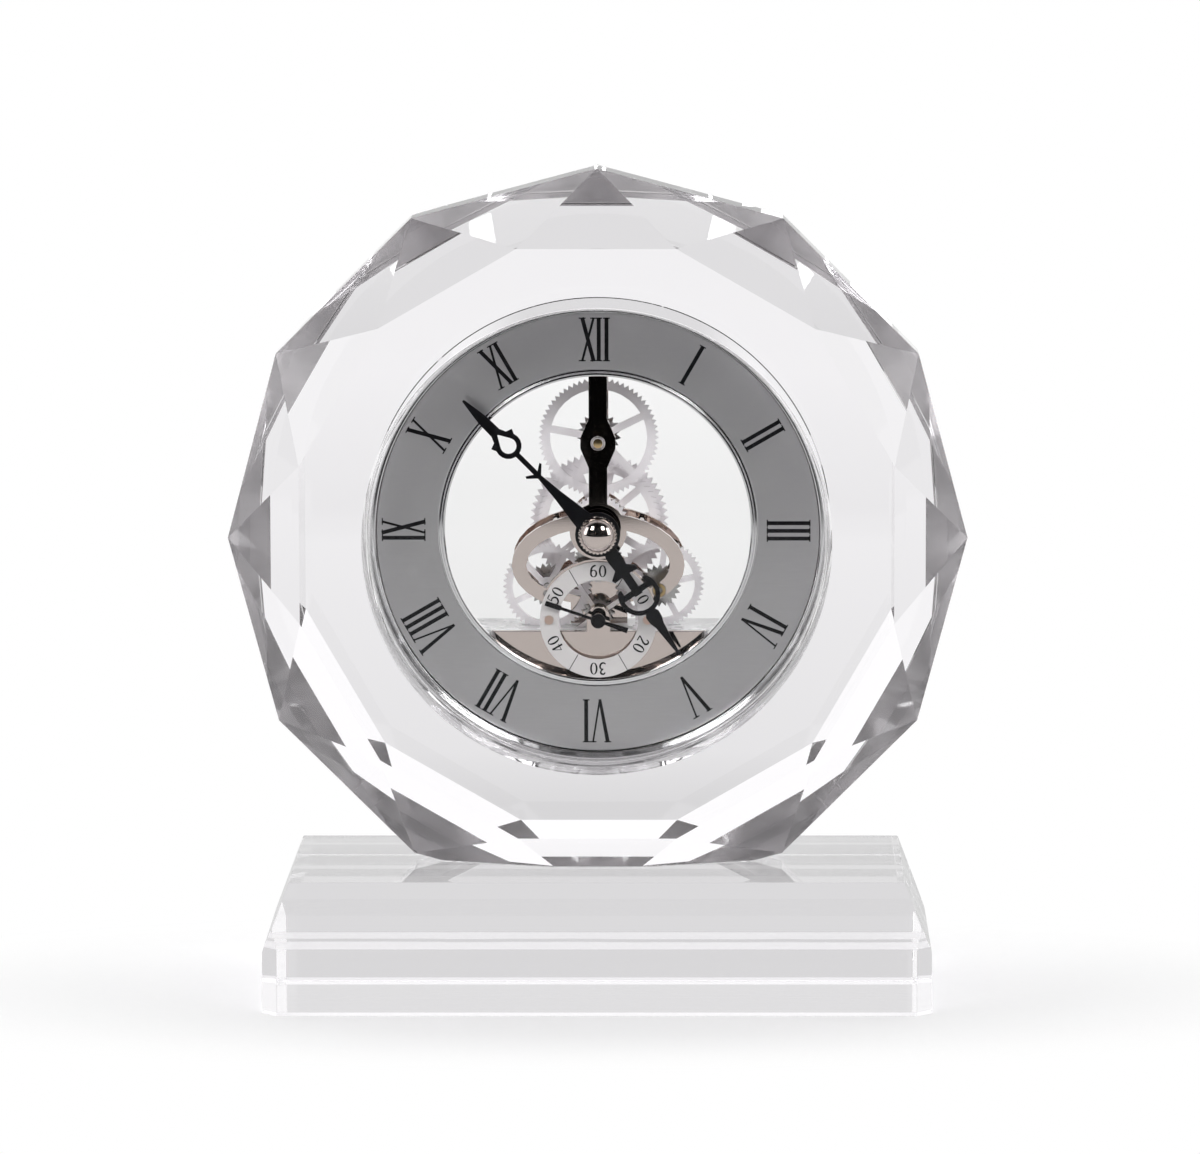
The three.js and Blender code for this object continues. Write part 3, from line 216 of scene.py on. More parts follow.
def round_grain_group():
    """Turning marks round an axis that runs front to back."""
    inputs = [("Vector", (0.0, 0.0, 0.0)), ("Axis", (0.0, 0.0, 0.0)), ("Fineness", 4000.0),
              ("Roughness", 0.3), ("Depth", 0.15)]
    tree, given = node_group("round_grain", inputs, ["Shade", "Roughness", "Normal"])
    offset = vector_node(tree, "SUBTRACT", given["Vector"], given["Axis"])
    flat = vector_node(tree, "MULTIPLY", offset, (1.0, 0.0, 1.0))
    radius = vector_node(tree, "LENGTH", flat)
    rings = wire(tree, "ShaderNodeCombineXYZ", {"X": radius, "Y": 0.0, "Z": 0.0}).outputs[0]
    near = vector_node(tree, "MULTIPLY", offset, (0.03, 0.03, 0.03))
    lines = noise(tree, vector_node(tree, "ADD", rings, near), given["Fineness"], 3.0, 0.6)
    cloud = noise(tree, given["Vector"], 180.0)
    shade = mean(tree, lines, cloud, 0.5)
    rough = math_node(tree, "ADD", given["Roughness"], spread(tree, shade, -0.05, 0.05))
    return finish_group(tree, lines, 0.02 * MM, given["Depth"], shade, rough)


def polish_group():
    """Polished metal: hairlines from wiping and soft clouds in the shine."""
    inputs = [("Vector", (0.0, 0.0, 0.0)), ("Roughness", 0.05), ("Haze", 0.05), ("Depth", 0.05)]
    tree, given = node_group("polish_marks", inputs, ["Shade", "Roughness", "Normal"])
    slanted = vector_node(tree, "MULTIPLY", given["Vector"], (0.25, 1.0, 1.6))
    hairs = noise(tree, slanted, 2600.0, 2.0, 0.8)
    cloud = noise(tree, given["Vector"], 90.0, 4.0)
    rough = math_node(tree, "ADD", given["Roughness"], math_node(tree, "MULTIPLY", cloud, given["Haze"]))
    return finish_group(tree, hairs, 0.01 * MM, given["Depth"], cloud, rough)


def skin_group():
    """Moulded or painted skin: a fine peel and faint mottling."""
    inputs = [("Vector", (0.0, 0.0, 0.0)), ("Fineness", 1500.0), ("Roughness", 0.4), ("Depth", 0.2)]
    tree, given = node_group("moulded_skin", inputs, ["Shade", "Roughness", "Normal"])
    peel = noise(tree, given["Vector"], given["Fineness"], 3.0, 0.5)
    cloud = noise(tree, given["Vector"], 120.0, 4.0)
    rough = math_node(tree, "ADD", given["Roughness"], spread(tree, cloud, -0.06, 0.06))
    return finish_group(tree, peel, 0.03 * MM, given["Depth"], cloud, rough)


STRAIGHT_GRAIN = grain_group()
ROUND_GRAIN = round_grain_group()
POLISH = polish_group()
SKIN = skin_group()


# Materials
def rgba(color, factor=1.0):
    return tuple(min(1.0, c * factor) for c in color) + (1.0,)


def new_material(name):
    made = bpy.data.materials.new(name)
    made.use_nodes = True
    made.node_tree.nodes.clear()
    return made, made.node_tree


def own_place(tree):
    return wire(tree, "ShaderNodeTexCoord").outputs["Object"]


def main_shader(made):
    return next(node for node in made.node_tree.nodes if node.type == "BSDF_PRINCIPLED")


def surface(name, group, settings, color, contrast=0.12, **sockets):
    """A Principled material whose colour, shine and bump vary by one of the groups above."""
    made, tree = new_material(name)
    marks = wire(tree, "ShaderNodeGroup", node_tree=group)
    for key, value in {"Vector": own_place(tree), **settings}.items():
        if isinstance(value, bpy.types.NodeSocket):
            tree.links.new(value, marks.inputs[key])
        else:
            marks.inputs[key].default_value = value
    tone = blend(tree, marks.outputs["Shade"], rgba(color, 1 - contrast), rgba(color, 1 + contrast))
    shader = wire(tree, "ShaderNodeBsdfPrincipled", {
        "Base Color": tone, "Roughness": marks.outputs["Roughness"], "Normal": marks.outputs["Normal"]})
    for key, value in sockets.items():
        shader.inputs[key.replace("_", " ")].default_value = value
    wire(tree, "ShaderNodeOutputMaterial", {"Surface": shader.outputs[0]})
    return made


def clear(name, color, ior, shadow, roughness=0.0, level=0.5):
    """Glass or clear plastic, which lets the lamps' light through to what is inside."""
    made, tree = new_material(name)
    cloud = noise(tree, own_place(tree), 40.0)
    tone = blend(tree, cloud, rgba(color, 0.995), rgba(color, 1.005))
    shader = wire(tree, "ShaderNodeBsdfPrincipled", {
        "Base Color": tone, "Roughness": roughness, "IOR": ior, "Specular IOR Level": level,
        "Transmission Weight": 1.0})
    through = wire(tree, "ShaderNodeBsdfTransparent", {"Color": rgba(shadow)})
    ray = wire(tree, "ShaderNodeLightPath").outputs["Is Shadow Ray"]
    both = wire(tree, "ShaderNodeMixShader", {0: ray, 1: shader.outputs[0], 2: through.outputs[0]})
    wire(tree, "ShaderNodeOutputMaterial", {"Surface": both.outputs[0]})
    return made


CRYSTAL_CLEAR = {"color": (0.985, 0.973, 0.99), "ior": 1.52, "shadow": (0.95, 0.94, 0.96)}
CRYSTAL = clear("cut_crystal", **CRYSTAL_CLEAR)
LENS = clear("clear_lens", (0.99, 0.99, 0.99), 1.2, (0.97, 0.97, 0.97), level=0.3)
GASKET = clear("clear_gasket", (0.93, 0.93, 0.93), 1.45, (0.9, 0.9, 0.9), roughness=0.15)
NICKEL = surface("polished_nickel", POLISH, {"Roughness": 0.015, "Haze": 0.03, "Depth": 0.02},
                 (0.68, 0.6, 0.56), 0.03, Metallic=1.0)
CHROME = surface("chrome", POLISH, {"Roughness": 0.04, "Haze": 0.06, "Depth": 0.03},
                 (0.82, 0.82, 0.83), 0.04, Metallic=1.0)
CASE_METAL = surface("plated_case", POLISH, {"Roughness": 0.32, "Haze": 0.1, "Depth": 0.05},
                     (0.42, 0.41, 0.41), 0.1, Metallic=0.8)
STEEL = surface("turned_steel", POLISH, {"Roughness": 0.15, "Haze": 0.1, "Depth": 0.08},
                (0.62, 0.61, 0.6), 0.1, Metallic=1.0)
DARK_STEEL = surface("dark_steel", POLISH, {"Roughness": 0.1, "Haze": 0.08, "Depth": 0.05},
                     (0.34, 0.33, 0.33), 0.1, Metallic=1.0)
BRASS = surface("polished_brass", POLISH, {"Roughness": 0.12, "Haze": 0.1, "Depth": 0.08},
                (0.6, 0.45, 0.24), 0.15, Metallic=1.0)
COPPER = surface("copper_rivet", POLISH, {"Roughness": 0.25, "Haze": 0.1, "Depth": 0.1},
                 (0.72, 0.55, 0.47), 0.12, Metallic=1.0)
DIAL = surface("brushed_dial", STRAIGHT_GRAIN, {"Fineness": 2600.0, "Roughness": 0.34, "Depth": 0.12},
               (0.56, 0.555, 0.565), 0.12, Metallic=1.0)
SECONDS_SILVER = surface("silvered_ring", STRAIGHT_GRAIN,
                         {"Fineness": 3000.0, "Roughness": 0.42, "Depth": 0.08},
                         (0.6, 0.58, 0.58), 0.06, Metallic=0.25)
BLACK = surface("black_enamel", SKIN, {"Fineness": 2200.0, "Roughness": 0.3, "Depth": 0.1},
                (0.004, 0.004, 0.005), 0.3, Specular_IOR_Level=0.12)
INK = surface("dial_ink", SKIN, {"Fineness": 4000.0, "Roughness": 0.45, "Depth": 0.1},
              (0.004, 0.004, 0.005), 0.3, Specular_IOR_Level=0.1)
WHITE = surface("white_plastic", SKIN, {"Fineness": 1200.0, "Roughness": 0.28, "Depth": 0.1},
                (0.86, 0.86, 0.87), 0.03)
KNOB = surface("black_plastic", SKIN, {"Fineness": 1500.0, "Roughness": 0.4, "Depth": 0.25},
               (0.02, 0.02, 0.02), 0.2)
BOARD = surface("circuit_board", SKIN, {"Fineness": 900.0, "Roughness": 0.35, "Depth": 0.3},
                (0.05, 0.16, 0.08), 0.25)
WIRE = surface("coil_wire", POLISH, {"Roughness": 0.25, "Haze": 0.15, "Depth": 0.2},
               (0.5, 0.2, 0.08), 0.2, Metallic=0.9)
CELL = surface("battery_sleeve", SKIN, {"Fineness": 700.0, "Roughness": 0.3, "Depth": 0.1},
               (0.2, 0.23, 0.28), 0.1, Metallic=0.5)


PUNCHED_EDGE_AND_SHADE = (0.5, 0.47, 0.46)
FACE_METALLIC, FACE_ROUGHNESS = 0.15, 0.33
EDGE_METALLIC, EDGE_ROUGHNESS = 1.0, 0.12


def wheel_silver(name, place):
    """Pale satin faces, and darker steel on the edges that were punched out; the dark edges are partly
    painted shade that outlines the teeth.
    """
    axis = tuple(at(place[0], place[1], 0))
    made = surface("wheel_silver_" + name, ROUND_GRAIN,
                   {"Axis": axis, "Fineness": 5000.0, "Roughness": FACE_ROUGHNESS, "Depth": 0.1},
                   (0.95, 0.92, 0.95), 0.04, Metallic=FACE_METALLIC)
    tree = made.node_tree
    shader = main_shader(made)
    # Painted shade in part: faces that slant away from the front-to-back axis get the darker edge steel
    normal = wire(tree, "ShaderNodeNewGeometry").outputs["True Normal"]
    slope = math_node(tree, "ABSOLUTE", split(tree, normal)["Y"])
    edge = ramp(tree, slope, 0.5, 0.9, 1.0, 0.0)
    face_tone = shader.inputs["Base Color"].links[0].from_socket
    tree.links.new(blend(tree, edge, face_tone, rgba(PUNCHED_EDGE_AND_SHADE)), shader.inputs["Base Color"])
    tree.links.new(spread(tree, edge, FACE_METALLIC, EDGE_METALLIC), shader.inputs["Metallic"])
    tree.links.new(spread(tree, edge, FACE_ROUGHNESS, EDGE_ROUGHNESS), shader.inputs["Roughness"])
    return made


# The base's ground bands and their painted glow, in millimetres above the table
GROUND_ROUGHNESS = 0.5
PAINTED_BAND_GLOW = (0.13, 0.128, 0.132)
SHOULDER_LOW, SHOULDER_TOP = 14.5, 18.1
LINE_LOW, LINE_TOP = 16.1, 16.7
BAND_FADE = 0.2
LINE_WAVE = 0.3
FOOT_LOW, FOOT_TOP = 0.02, 0.7
FRONT_FACE_START, FRONT_FACE_FULL = -25, -26


def band(tree, height, low, top, fade_in=BAND_FADE):
    """A mask that is 1 between two heights, given in millimetres."""
    rise = ramp(tree, height, low * MM, (low + fade_in) * MM)
    end = ramp(tree, height, top * MM, (top + BAND_FADE) * MM)
    return math_node(tree, "SUBTRACT", rise, end)


def base_glass():
    """The base's glass, with ground bands along its edges that glow with painted light: painted highlight
    lines, with an unlit wavy line between.
    """
    made = clear("base_crystal", **CRYSTAL_CLEAR)
    tree = made.node_tree
    shader = main_shader(made)
    place = own_place(tree)
    parts = split(tree, place)
    height = parts["Z"]
    wave = spread(tree, noise(tree, place, 25.0), -LINE_WAVE * MM, LINE_WAVE * MM)
    # Painted highlight: the shoulder band glows on the front face only, less the wavy line inside it, and
    # the foot band glows all round
    shoulder = band(tree, height, SHOULDER_LOW, SHOULDER_TOP)
    line = band(tree, math_node(tree, "ADD", height, wave), LINE_LOW, LINE_TOP)
    painted_bright_band = math_node(tree, "MAXIMUM", math_node(tree, "SUBTRACT", shoulder, line), 0.0)
    in_front = ramp(tree, parts["Y"], FRONT_FACE_START * MM, FRONT_FACE_FULL * MM)
    foot = band(tree, height, FOOT_LOW, FOOT_TOP, fade_in=0.04)
    rough_and_painted_glow = math_node(tree, "ADD", math_node(tree, "MULTIPLY", painted_bright_band, in_front), foot)
    tree.links.new(spread(tree, rough_and_painted_glow, 0.0, GROUND_ROUGHNESS), shader.inputs["Roughness"])
    # Painted highlight: the bands glow with a fixed colour, which stands for light gathered in the glass
    glow = blend(tree, rough_and_painted_glow, rgba((0, 0, 0)), rgba(PAINTED_BAND_GLOW))
    tree.links.new(glow, shader.inputs["Emission Color"])
    shader.inputs["Emission Strength"].default_value = 1.0
    return made


BASE_GLASS = base_glass()


# Meshes
def smooth(mesh, angle=35):
    mesh.shade_smooth()
    mesh.set_sharp_from_angle(angle=math.radians(angle))


def new_mesh(name, corners, faces):
    mesh = bpy.data.meshes.new(name)
    mesh.from_pydata(corners, [], faces)
    return mesh


def piece(name, mesh, body, material, stands_for=()):
    """A piece of the scene that rides on a body and may stand for a CAD solid."""
    obj = bpy.data.objects.new(name, mesh)
    scene.collection.objects.link(obj)
    mesh.materials.clear()
    mesh.materials.append(material)
    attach(obj, body)
    if stands_for:
        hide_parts(*stands_for)
        flat = obj.modifiers.new("flat_faces", "WEIGHTED_NORMAL")
        flat.keep_sharp = True
    return obj


def tidy(mesh, apart=1e-7):
    """Turn all faces outwards, after welding what lies closer than the given distance."""
    work = bmesh.new()
    work.from_mesh(mesh)
    if apart:
        bmesh.ops.remove_doubles(work, verts=work.verts, dist=apart)
    bmesh.ops.recalc_face_normals(work, faces=work.faces)
    work.to_mesh(mesh)
    work.free()


def turned(name, profile, place=CENTRE, sides=192, angle=35):
    """A body of revolution from (radius, height) pairs that close on themselves or end on the axis."""
    corners, faces, rows = [], [], []
    for radius, height in profile:
        if radius < ON_AXIS:
            rows.append([len(corners)] * sides)
            corners.append(at(place[0], place[1], height))
            continue
        rows.append(list(range(len(corners), len(corners) + sides)))
        for i in range(sides):
            corners.append(at(*around(place, radius, 2 * math.pi * i / sides), height))
    for a, b in zip(rows, rows[1:] + rows[:1]):
        for i in range(sides):
            j = (i + 1) % sides
            ring = list(dict.fromkeys((a[i], b[i], b[j], a[j])))
            if len(ring) > 2:
                faces.append(ring)
    mesh = new_mesh(name, corners, faces)
    tidy(mesh)
    smooth(mesh, angle)
    return mesh


def rounded(profile, radius=0.12, steps=3):
    """The closed profile with its corners rounded, all but those on the axis."""
    outline = []
    count = len(profile)
    for i, here in enumerate(profile):
        before, after = Vector(profile[i - 1]), Vector(profile[(i + 1) % count])
        corner = Vector(here)
        if corner.x < ON_AXIS:
            outline.append(tuple(corner))
            continue
        reach = min(radius, (before - corner).length * 0.45, (after - corner).length * 0.45)
        start = corner + (before - corner).normalized() * reach
        end = corner + (after - corner).normalized() * reach
        for k in range(steps + 1):
            t = k / steps
            bend = start * (1 - t) ** 2 + corner * 2 * t * (1 - t) + end * t ** 2
            outline.append(tuple(bend))
    return outline


def plate(name, loops, low, high, bevel=0.05, angle=35):
    """A flat plate from closed outlines in the dial's plane, the first outside and the rest holes."""
    curve = bpy.data.curves.new(name, "CURVE")
    curve.dimensions = "2D"
    curve.fill_mode = "BOTH"
    curve.extrude = ((high - low) / 2 - bevel) * MM
    curve.bevel_depth = bevel * MM
    curve.bevel_resolution = 1
    curve.offset = -bevel * MM
    for loop in loops:
        spline = curve.splines.new("POLY")
        spline.points.add(len(loop) - 1)
        for corner, (x, y) in zip(spline.points, loop):
            corner.co = (x * MM, y * MM, 0, 1)
        spline.use_cyclic_u = True
    shape = bpy.data.objects.new(name, curve)
    mesh = bpy.data.meshes.new_from_object(shape)
    bpy.data.objects.remove(shape)
    bpy.data.curves.remove(curve)
    mesh.transform(Matrix.Translation(at(0, 0, (low + high) / 2)) @ Matrix.Rotation(math.pi / 2, 4, "X"))
    tidy(mesh)
    smooth(mesh, angle)
    return mesh


def circle(radius, place=CENTRE, sides=96):
    return [around(place, radius, 2 * math.pi * i / sides) for i in range(sides)]


# Strokes of print: ribbons of changing width, laid flat on what they are printed on
PRINT_THICKNESS = 0.03
PRINT_STEP = 0.0004


def ribbon(points, widths):
    """The outline of a stroke along points, with a width at each."""
    left, right = [], []
    for i, here in enumerate(points):
        before, after = Vector(points[max(i - 1, 0)]), Vector(points[min(i + 1, len(points) - 1)])
        along = (after - before).normalized()
        across = Vector((-along.y, along.x)) * widths[i] / 2
        left.append(tuple(Vector(here) + across))
        right.append(tuple(Vector(here) - across))
    return left + right[::-1]


def curved(points, steps=6):
    """More points on a smooth line through the given ones."""
    line = []
    ends = [points[0]] + list(points) + [points[-1]]
    for a, b, c, d in zip(ends, ends[1:], ends[2:], ends[3:]):
        for k in range(steps):
            t = k / steps
            line.append(tuple(
                0.5 * (2 * q + (r - p) * t + (2 * p - 5 * q + 4 * r - s) * t * t
                       + (3 * q - p - 3 * r + s) * t ** 3)
                for p, q, r, s in zip(a, b, c, d)))
    return line + [tuple(points[-1])]


def printed(name, outlines, height):
    """Flat ink shapes from closed loops in the dial's plane; those that cross differ in height."""
    corners, faces = [], []
    for k, outline in enumerate(outlines):
        top = height + PRINT_THICKNESS + PRINT_STEP * (k % 7)
        start, count = len(corners), len(outline)
        corners += [at(x, y, top) for x, y in outline] + [at(x, y, height) for x, y in outline]
        faces += [[start + i, start + (i + 1) % count, start + count + (i + 1) % count, start + count + i]
                  for i in range(count)]
        half = count // 2
        for i in range(half - 1):
            quad = [i, i + 1, count - 2 - i, count - 1 - i]
            faces.append([start + c for c in quad])
            faces.append([start + count + c for c in reversed(quad)])
    mesh = new_mesh(name, corners, faces)
    tidy(mesh, apart=0)
    piece(name, mesh, "stand", INK)


STEM, THIN, SERIF = 0.85, 0.38, 0.27
SERIF_LENGTH = 1.5
NUMERAL_FOOT, NUMERAL_TOP = 37.0, 46.5
VEE_REACH, VEE_LEAN = 1.62, 0.12
EX_REACH = 1.25
PRINT_CENTRE = (-0.4, 0.3)


def serif(x, level):
    return ribbon([(x - SERIF_LENGTH / 2, level), (x + SERIF_LENGTH / 2, level)], [SERIF] * 2)


def stem_strokes(x):
    stem = ribbon([(x, NUMERAL_FOOT), (x, NUMERAL_TOP)], [STEM] * 2)
    return [stem, serif(x, NUMERAL_FOOT + SERIF / 2), serif(x, NUMERAL_TOP - SERIF / 2)]


def vee_strokes(x):
    foot, top = (x + VEE_LEAN, NUMERAL_FOOT), NUMERAL_TOP
    left, right = x - VEE_REACH, x + VEE_REACH
    strokes = [ribbon([(left, top), foot], [STEM, STEM * 0.75]), ribbon([(right, top), foot], [THIN] * 2)]
    return strokes + [serif(end, top - SERIF / 2) for end in (left, right)]


def ex_strokes(x):
    foot, top = NUMERAL_FOOT, NUMERAL_TOP
    left, right = x - EX_REACH, x + EX_REACH
    strokes = [ribbon([(left, top), (right, foot)], [STEM] * 2),
               ribbon([(right, top), (left, foot)], [THIN * 1.3] * 2)]
    for end in (left, right):
        strokes += [serif(end, foot + SERIF / 2), serif(end, top - SERIF / 2)]
    return strokes


# Each letter's strokes and half of its width
LETTERS = {"I": (stem_strokes, 0.84), "V": (vee_strokes, 2.25), "X": (ex_strokes, 1.5)}


def turned_about(outline, degrees, place=CENTRE):
    turn = -math.radians(degrees)
    c, s = math.cos(turn), math.sin(turn)
    return [(place[0] + x * c - y * s, place[1] + x * s + y * c) for x, y in outline]


def roman_numerals():
    words = ["I", "II", "III", "IV", "V", "VI", "VII", "VIII", "IX", "X", "XI", "XII"]
    for hour, word in enumerate(words, start=1):
        x = -sum(LETTERS[letter][1] for letter in word)
        outlines = []
        for letter in word:
            strokes, half = LETTERS[letter]
            outlines += strokes(x + half)
            x += 2 * half
        outlines = [turned_about(outline, 30 * hour, PRINT_CENTRE) for outline in outlines]
        printed("numeral_%02d" % hour, outlines, 0.0)


def ring_strokes(cx, cy, rx, ry, thick, thin, steps=28):
    """An oval letter part, thick at its sides and thin at its ends, in two halves."""
    halves = []
    for half in (0, 1):
        line, widths = [], []
        for k in range(steps // 2 + 1):
            turn = math.pi * half - math.pi / 2 + math.pi * k / (steps // 2)
            line.append((cx + rx * math.cos(turn), cy + ry * math.sin(turn)))
            widths.append(thin + (thick - thin) * abs(math.cos(turn)))
        halves.append(ribbon(line, widths))
    return halves


def swelling(points, thick, thin=0.2):
    line = curved(points)
    count = len(line) - 1
    return ribbon(line, [thin + (thick - thin) * math.sin(math.pi * i / count) for i in range(count + 1)])


def digit(figure):
    """The strokes of a figure of the seconds ring, about its own middle."""
    fat, hair = 0.4, 0.14
    if figure == "0":
        return ring_strokes(0, 0, 0.62, 1.24, fat, 0.13)
    if figure == "6":
        return ring_strokes(0, -0.5, 0.6, 0.74, fat, 0.13) + [
            swelling([(-0.62, -0.6), (-0.6, 0.1), (-0.3, 0.85), (0.2, 1.22), (0.52, 1.2)], fat)]
    if figure == "5":
        return [
            ribbon([(-0.42, 1.2), (0.55, 1.24)], [0.24] * 2),
            ribbon([(-0.42, 1.2), (-0.5, 0.15)], [hair] * 2),
            swelling([(-0.5, 0.15), (0.05, 0.32), (0.55, -0.05), (0.6, -0.6), (0.2, -1.12), (-0.35, -1.25),
                      (-0.6, -1.0)], fat)]
    if figure == "4":
        return [
            ribbon([(0.25, 1.22), (-0.7, -0.5)], [hair] * 2),
            ribbon([(-0.75, -0.5), (0.75, -0.5)], [0.16] * 2),
            ribbon([(0.28, 1.22), (0.28, -1.25)], [fat] * 2)]
    if figure == "3":
        return [
            swelling([(-0.55, 0.85), (-0.2, 1.22), (0.35, 1.1), (0.42, 0.6), (-0.05, 0.12)], fat),
            swelling([(-0.15, 0.12), (0.4, 0.05), (0.6, -0.5), (0.3, -1.1), (-0.25, -1.24),
                      (-0.6, -0.95)], fat)]
    if figure == "2":
        return [
            swelling([(-0.5, 0.6), (-0.35, 1.1), (0.1, 1.24), (0.5, 0.85), (0.35, 0.2), (-0.15, -0.5),
                      (-0.6, -1.15)], fat),
            ribbon([(-0.6, -1.12), (0.6, -1.12)], [0.26] * 2)]
    return [
        ribbon([(0.0, 1.22), (0.0, -1.22)], [fat] * 2),
        ribbon([(-0.35, 0.95), (0.0, 1.2)], [hair] * 2),
        ribbon([(-0.4, -1.2), (0.4, -1.2)], [hair] * 2)]


def seconds_print():
    for value in (10, 20, 30, 40, 50, 60):
        outlines = []
        for k, figure in enumerate(str(value)):
            for outline in digit(figure):
                moved = [(x + (k - 0.5) * FIGURE_STEP, y + SECONDS_FIGURES) for x, y in outline]
                outlines.append(turned_about(moved, 6 * value, SECONDS))
        printed("seconds_numeral_%d" % value, outlines, SECONDS_FACE)
    divider = ribbon([(0, DIVIDER_START), (0, DIVIDER_END)], [DIVIDER_WIDTH] * 2)
    marks = [turned_about(divider, 6 * second, SECONDS) for second in (5, 25, 35, 55)]
    printed("seconds_divider_marks", marks, SECONDS_FACE)


# Crystal: cut faces, bored through, standing flat on its base
def crystal_body():
    shape = bmesh.new()
    for i in range(CRYSTAL_SIDES):
        turn = 2 * math.pi * i / CRYSTAL_SIDES
        girdle_x, girdle_z = around(CENTRE, CRYSTAL_RADIUS, turn)
        table_x, table_z = around(CENTRE, TABLE_RADIUS, turn + math.pi / CRYSTAL_SIDES)
        for side in (-1, 1):
            shape.verts.new((girdle_x, GIRDLE_HALF * side, girdle_z))
            shape.verts.new((table_x, CRYSTAL_HALF * side, table_z))
    bmesh.ops.convex_hull(shape, input=shape.verts)
    bmesh.ops.dissolve_limit(shape, angle_limit=math.radians(0.5), verts=shape.verts, edges=shape.edges)
    everything = list(shape.verts) + list(shape.edges) + list(shape.faces)
    bmesh.ops.bisect_plane(shape, geom=everything, plane_co=(0, 0, -CRYSTAL_FOOT), plane_no=(0, 0, -1),
                           clear_outer=True)
    bmesh.ops.holes_fill(shape, edges=[e for e in shape.edges if e.is_boundary])
    bmesh.ops.recalc_face_normals(shape, faces=shape.faces)
    mesh = bpy.data.meshes.new("crystal_cut")
    shape.to_mesh(mesh)
    shape.free()
    mesh.transform(Matrix.Translation((0, CRYSTAL_BACKSET * MM, CRYSTAL_Z * MM)) @ Matrix.Scale(MM, 4))

    front = DIAL_Y - CRYSTAL_BACKSET + CRYSTAL_HALF
    back = front - 2 * CRYSTAL_HALF
    before, behind = front + DRILL_OVERRUN, back - DRILL_OVERRUN
    flare = BORE_RADIUS + BORE_EDGE + DRILL_OVERRUN
    profile = [(0, before), (flare, before), (BORE_RADIUS, front - BORE_EDGE),
               (BORE_RADIUS, back + BORE_EDGE), (flare, behind), (0, behind)]
    drill = bpy.data.objects.new("drill", turned("drill", profile, sides=256))
    blank = bpy.data.objects.new("blank", mesh)
    for obj in (drill, blank):
        scene.collection.objects.link(obj)
    cut = blank.modifiers.new("bore", "BOOLEAN")
    cut.operation = "DIFFERENCE"
    cut.object = drill
    cut.solver = "EXACT"
    bored = bpy.data.meshes.new_from_object(blank.evaluated_get(bpy.context.evaluated_depsgraph_get()))
    bpy.data.objects.remove(drill)
    bpy.data.objects.remove(blank)
    tidy(bored, 1e-6)
    smooth(bored, 6)
    piece("cut_crystal_disc", bored, "stand", CRYSTAL, ["crystal_body"])


def lens():
    inner = LENS_RADIUS - LENS_WALL
    profile = rounded([(0, LENS_FRONT), (LENS_RADIUS, LENS_FRONT), (LENS_RADIUS, LENS_BACK),
                       (inner, LENS_BACK), (inner, LENS_INSIDE), (0, LENS_INSIDE)], 0.6, 5)
    mesh = turned("domed_lens", profile, sides=256)
    piece("domed_lens", mesh, "stand", LENS, ["front_lens"])


def bezel():
    ledge, bed = CASE_RADIUS - BEZEL_WIDTH, DIAL_OUTER + 0.2
    profile = rounded([(bed, BEZEL_FRONT), (CASE_RADIUS, BEZEL_FRONT), (CASE_RADIUS, BEZEL_BACK),
                       (ledge, BEZEL_BACK), (ledge, BEZEL_SHELF), (bed, BEZEL_SHELF)], 0.25, 4)
    mesh = turned("turned_bezel", profile, sides=256)
    piece("turned_bezel", mesh, "stand", CHROME, ["bezel_ring"])


def dial():
    hole = circle(OPENING_OUTER + 0.05, OPENING_CENTRE, 256)
    face = plate("dial_face", [circle(DIAL_OUTER, sides=256), hole], -DIAL_THICKNESS, 0, 0.08)
    piece("dial_face", face, "stand", DIAL, ["dial_ring"])


def lip():
    bead = OPENING_INNER + BEAD_WIDTH
    profile = rounded([(OPENING_INNER, LIP_BACK), (OPENING_OUTER, LIP_BACK), (OPENING_OUTER, LIP_LEDGE),
                       (bead, LIP_LEDGE), (bead, LIP_FRONT), (OPENING_INNER, LIP_FRONT)], 0.25, 4)
    mesh = turned("turned_lip", profile, OPENING_CENTRE, 256)
    piece("turned_lip", mesh, "stand", CHROME, ["dial_lip"])


def gasket():
    outer, inner = BORE_RADIUS - 0.2, CASE_RADIUS + 0.2
    profile = [(outer, GASKET_FRONT), (inner, GASKET_FRONT), (inner, GASKET_BACK), (outer, GASKET_BACK)]
    for k in range(GASKET_RIBS):
        rib = GASKET_BACK + k
        profile += [(outer, rib + 0.35), (outer - RIB_HEIGHT, rib + 0.5), (outer, rib + 0.65)]
    mesh = turned("ribbed_gasket", profile, sides=192)
    piece("ribbed_gasket", mesh, "stand", GASKET, ["gasket_ring"])


def seconds_ring():
    profile = rounded([(SECONDS_INNER, SECONDS_BACK), (SECONDS_OUTER, SECONDS_BACK),
                       (SECONDS_OUTER, SECONDS_FACE), (SECONDS_INNER, SECONDS_FACE)], 0.08, 2)
    mesh = turned("seconds_ring_face", profile, SECONDS, 160)
    piece("seconds_ring_face", mesh, "stand", SECONDS_SILVER, ["seconds_dial"])


NUT_LOW, NUT_RIM = 4.3, 5.5
NUT_RADIUS, KNURL_DEPTH, KNURLS = 4.2, 0.3, 30
DOME_RADIUS, DOME_RISE, DOME_STEPS = 3.72, 2.25, 16


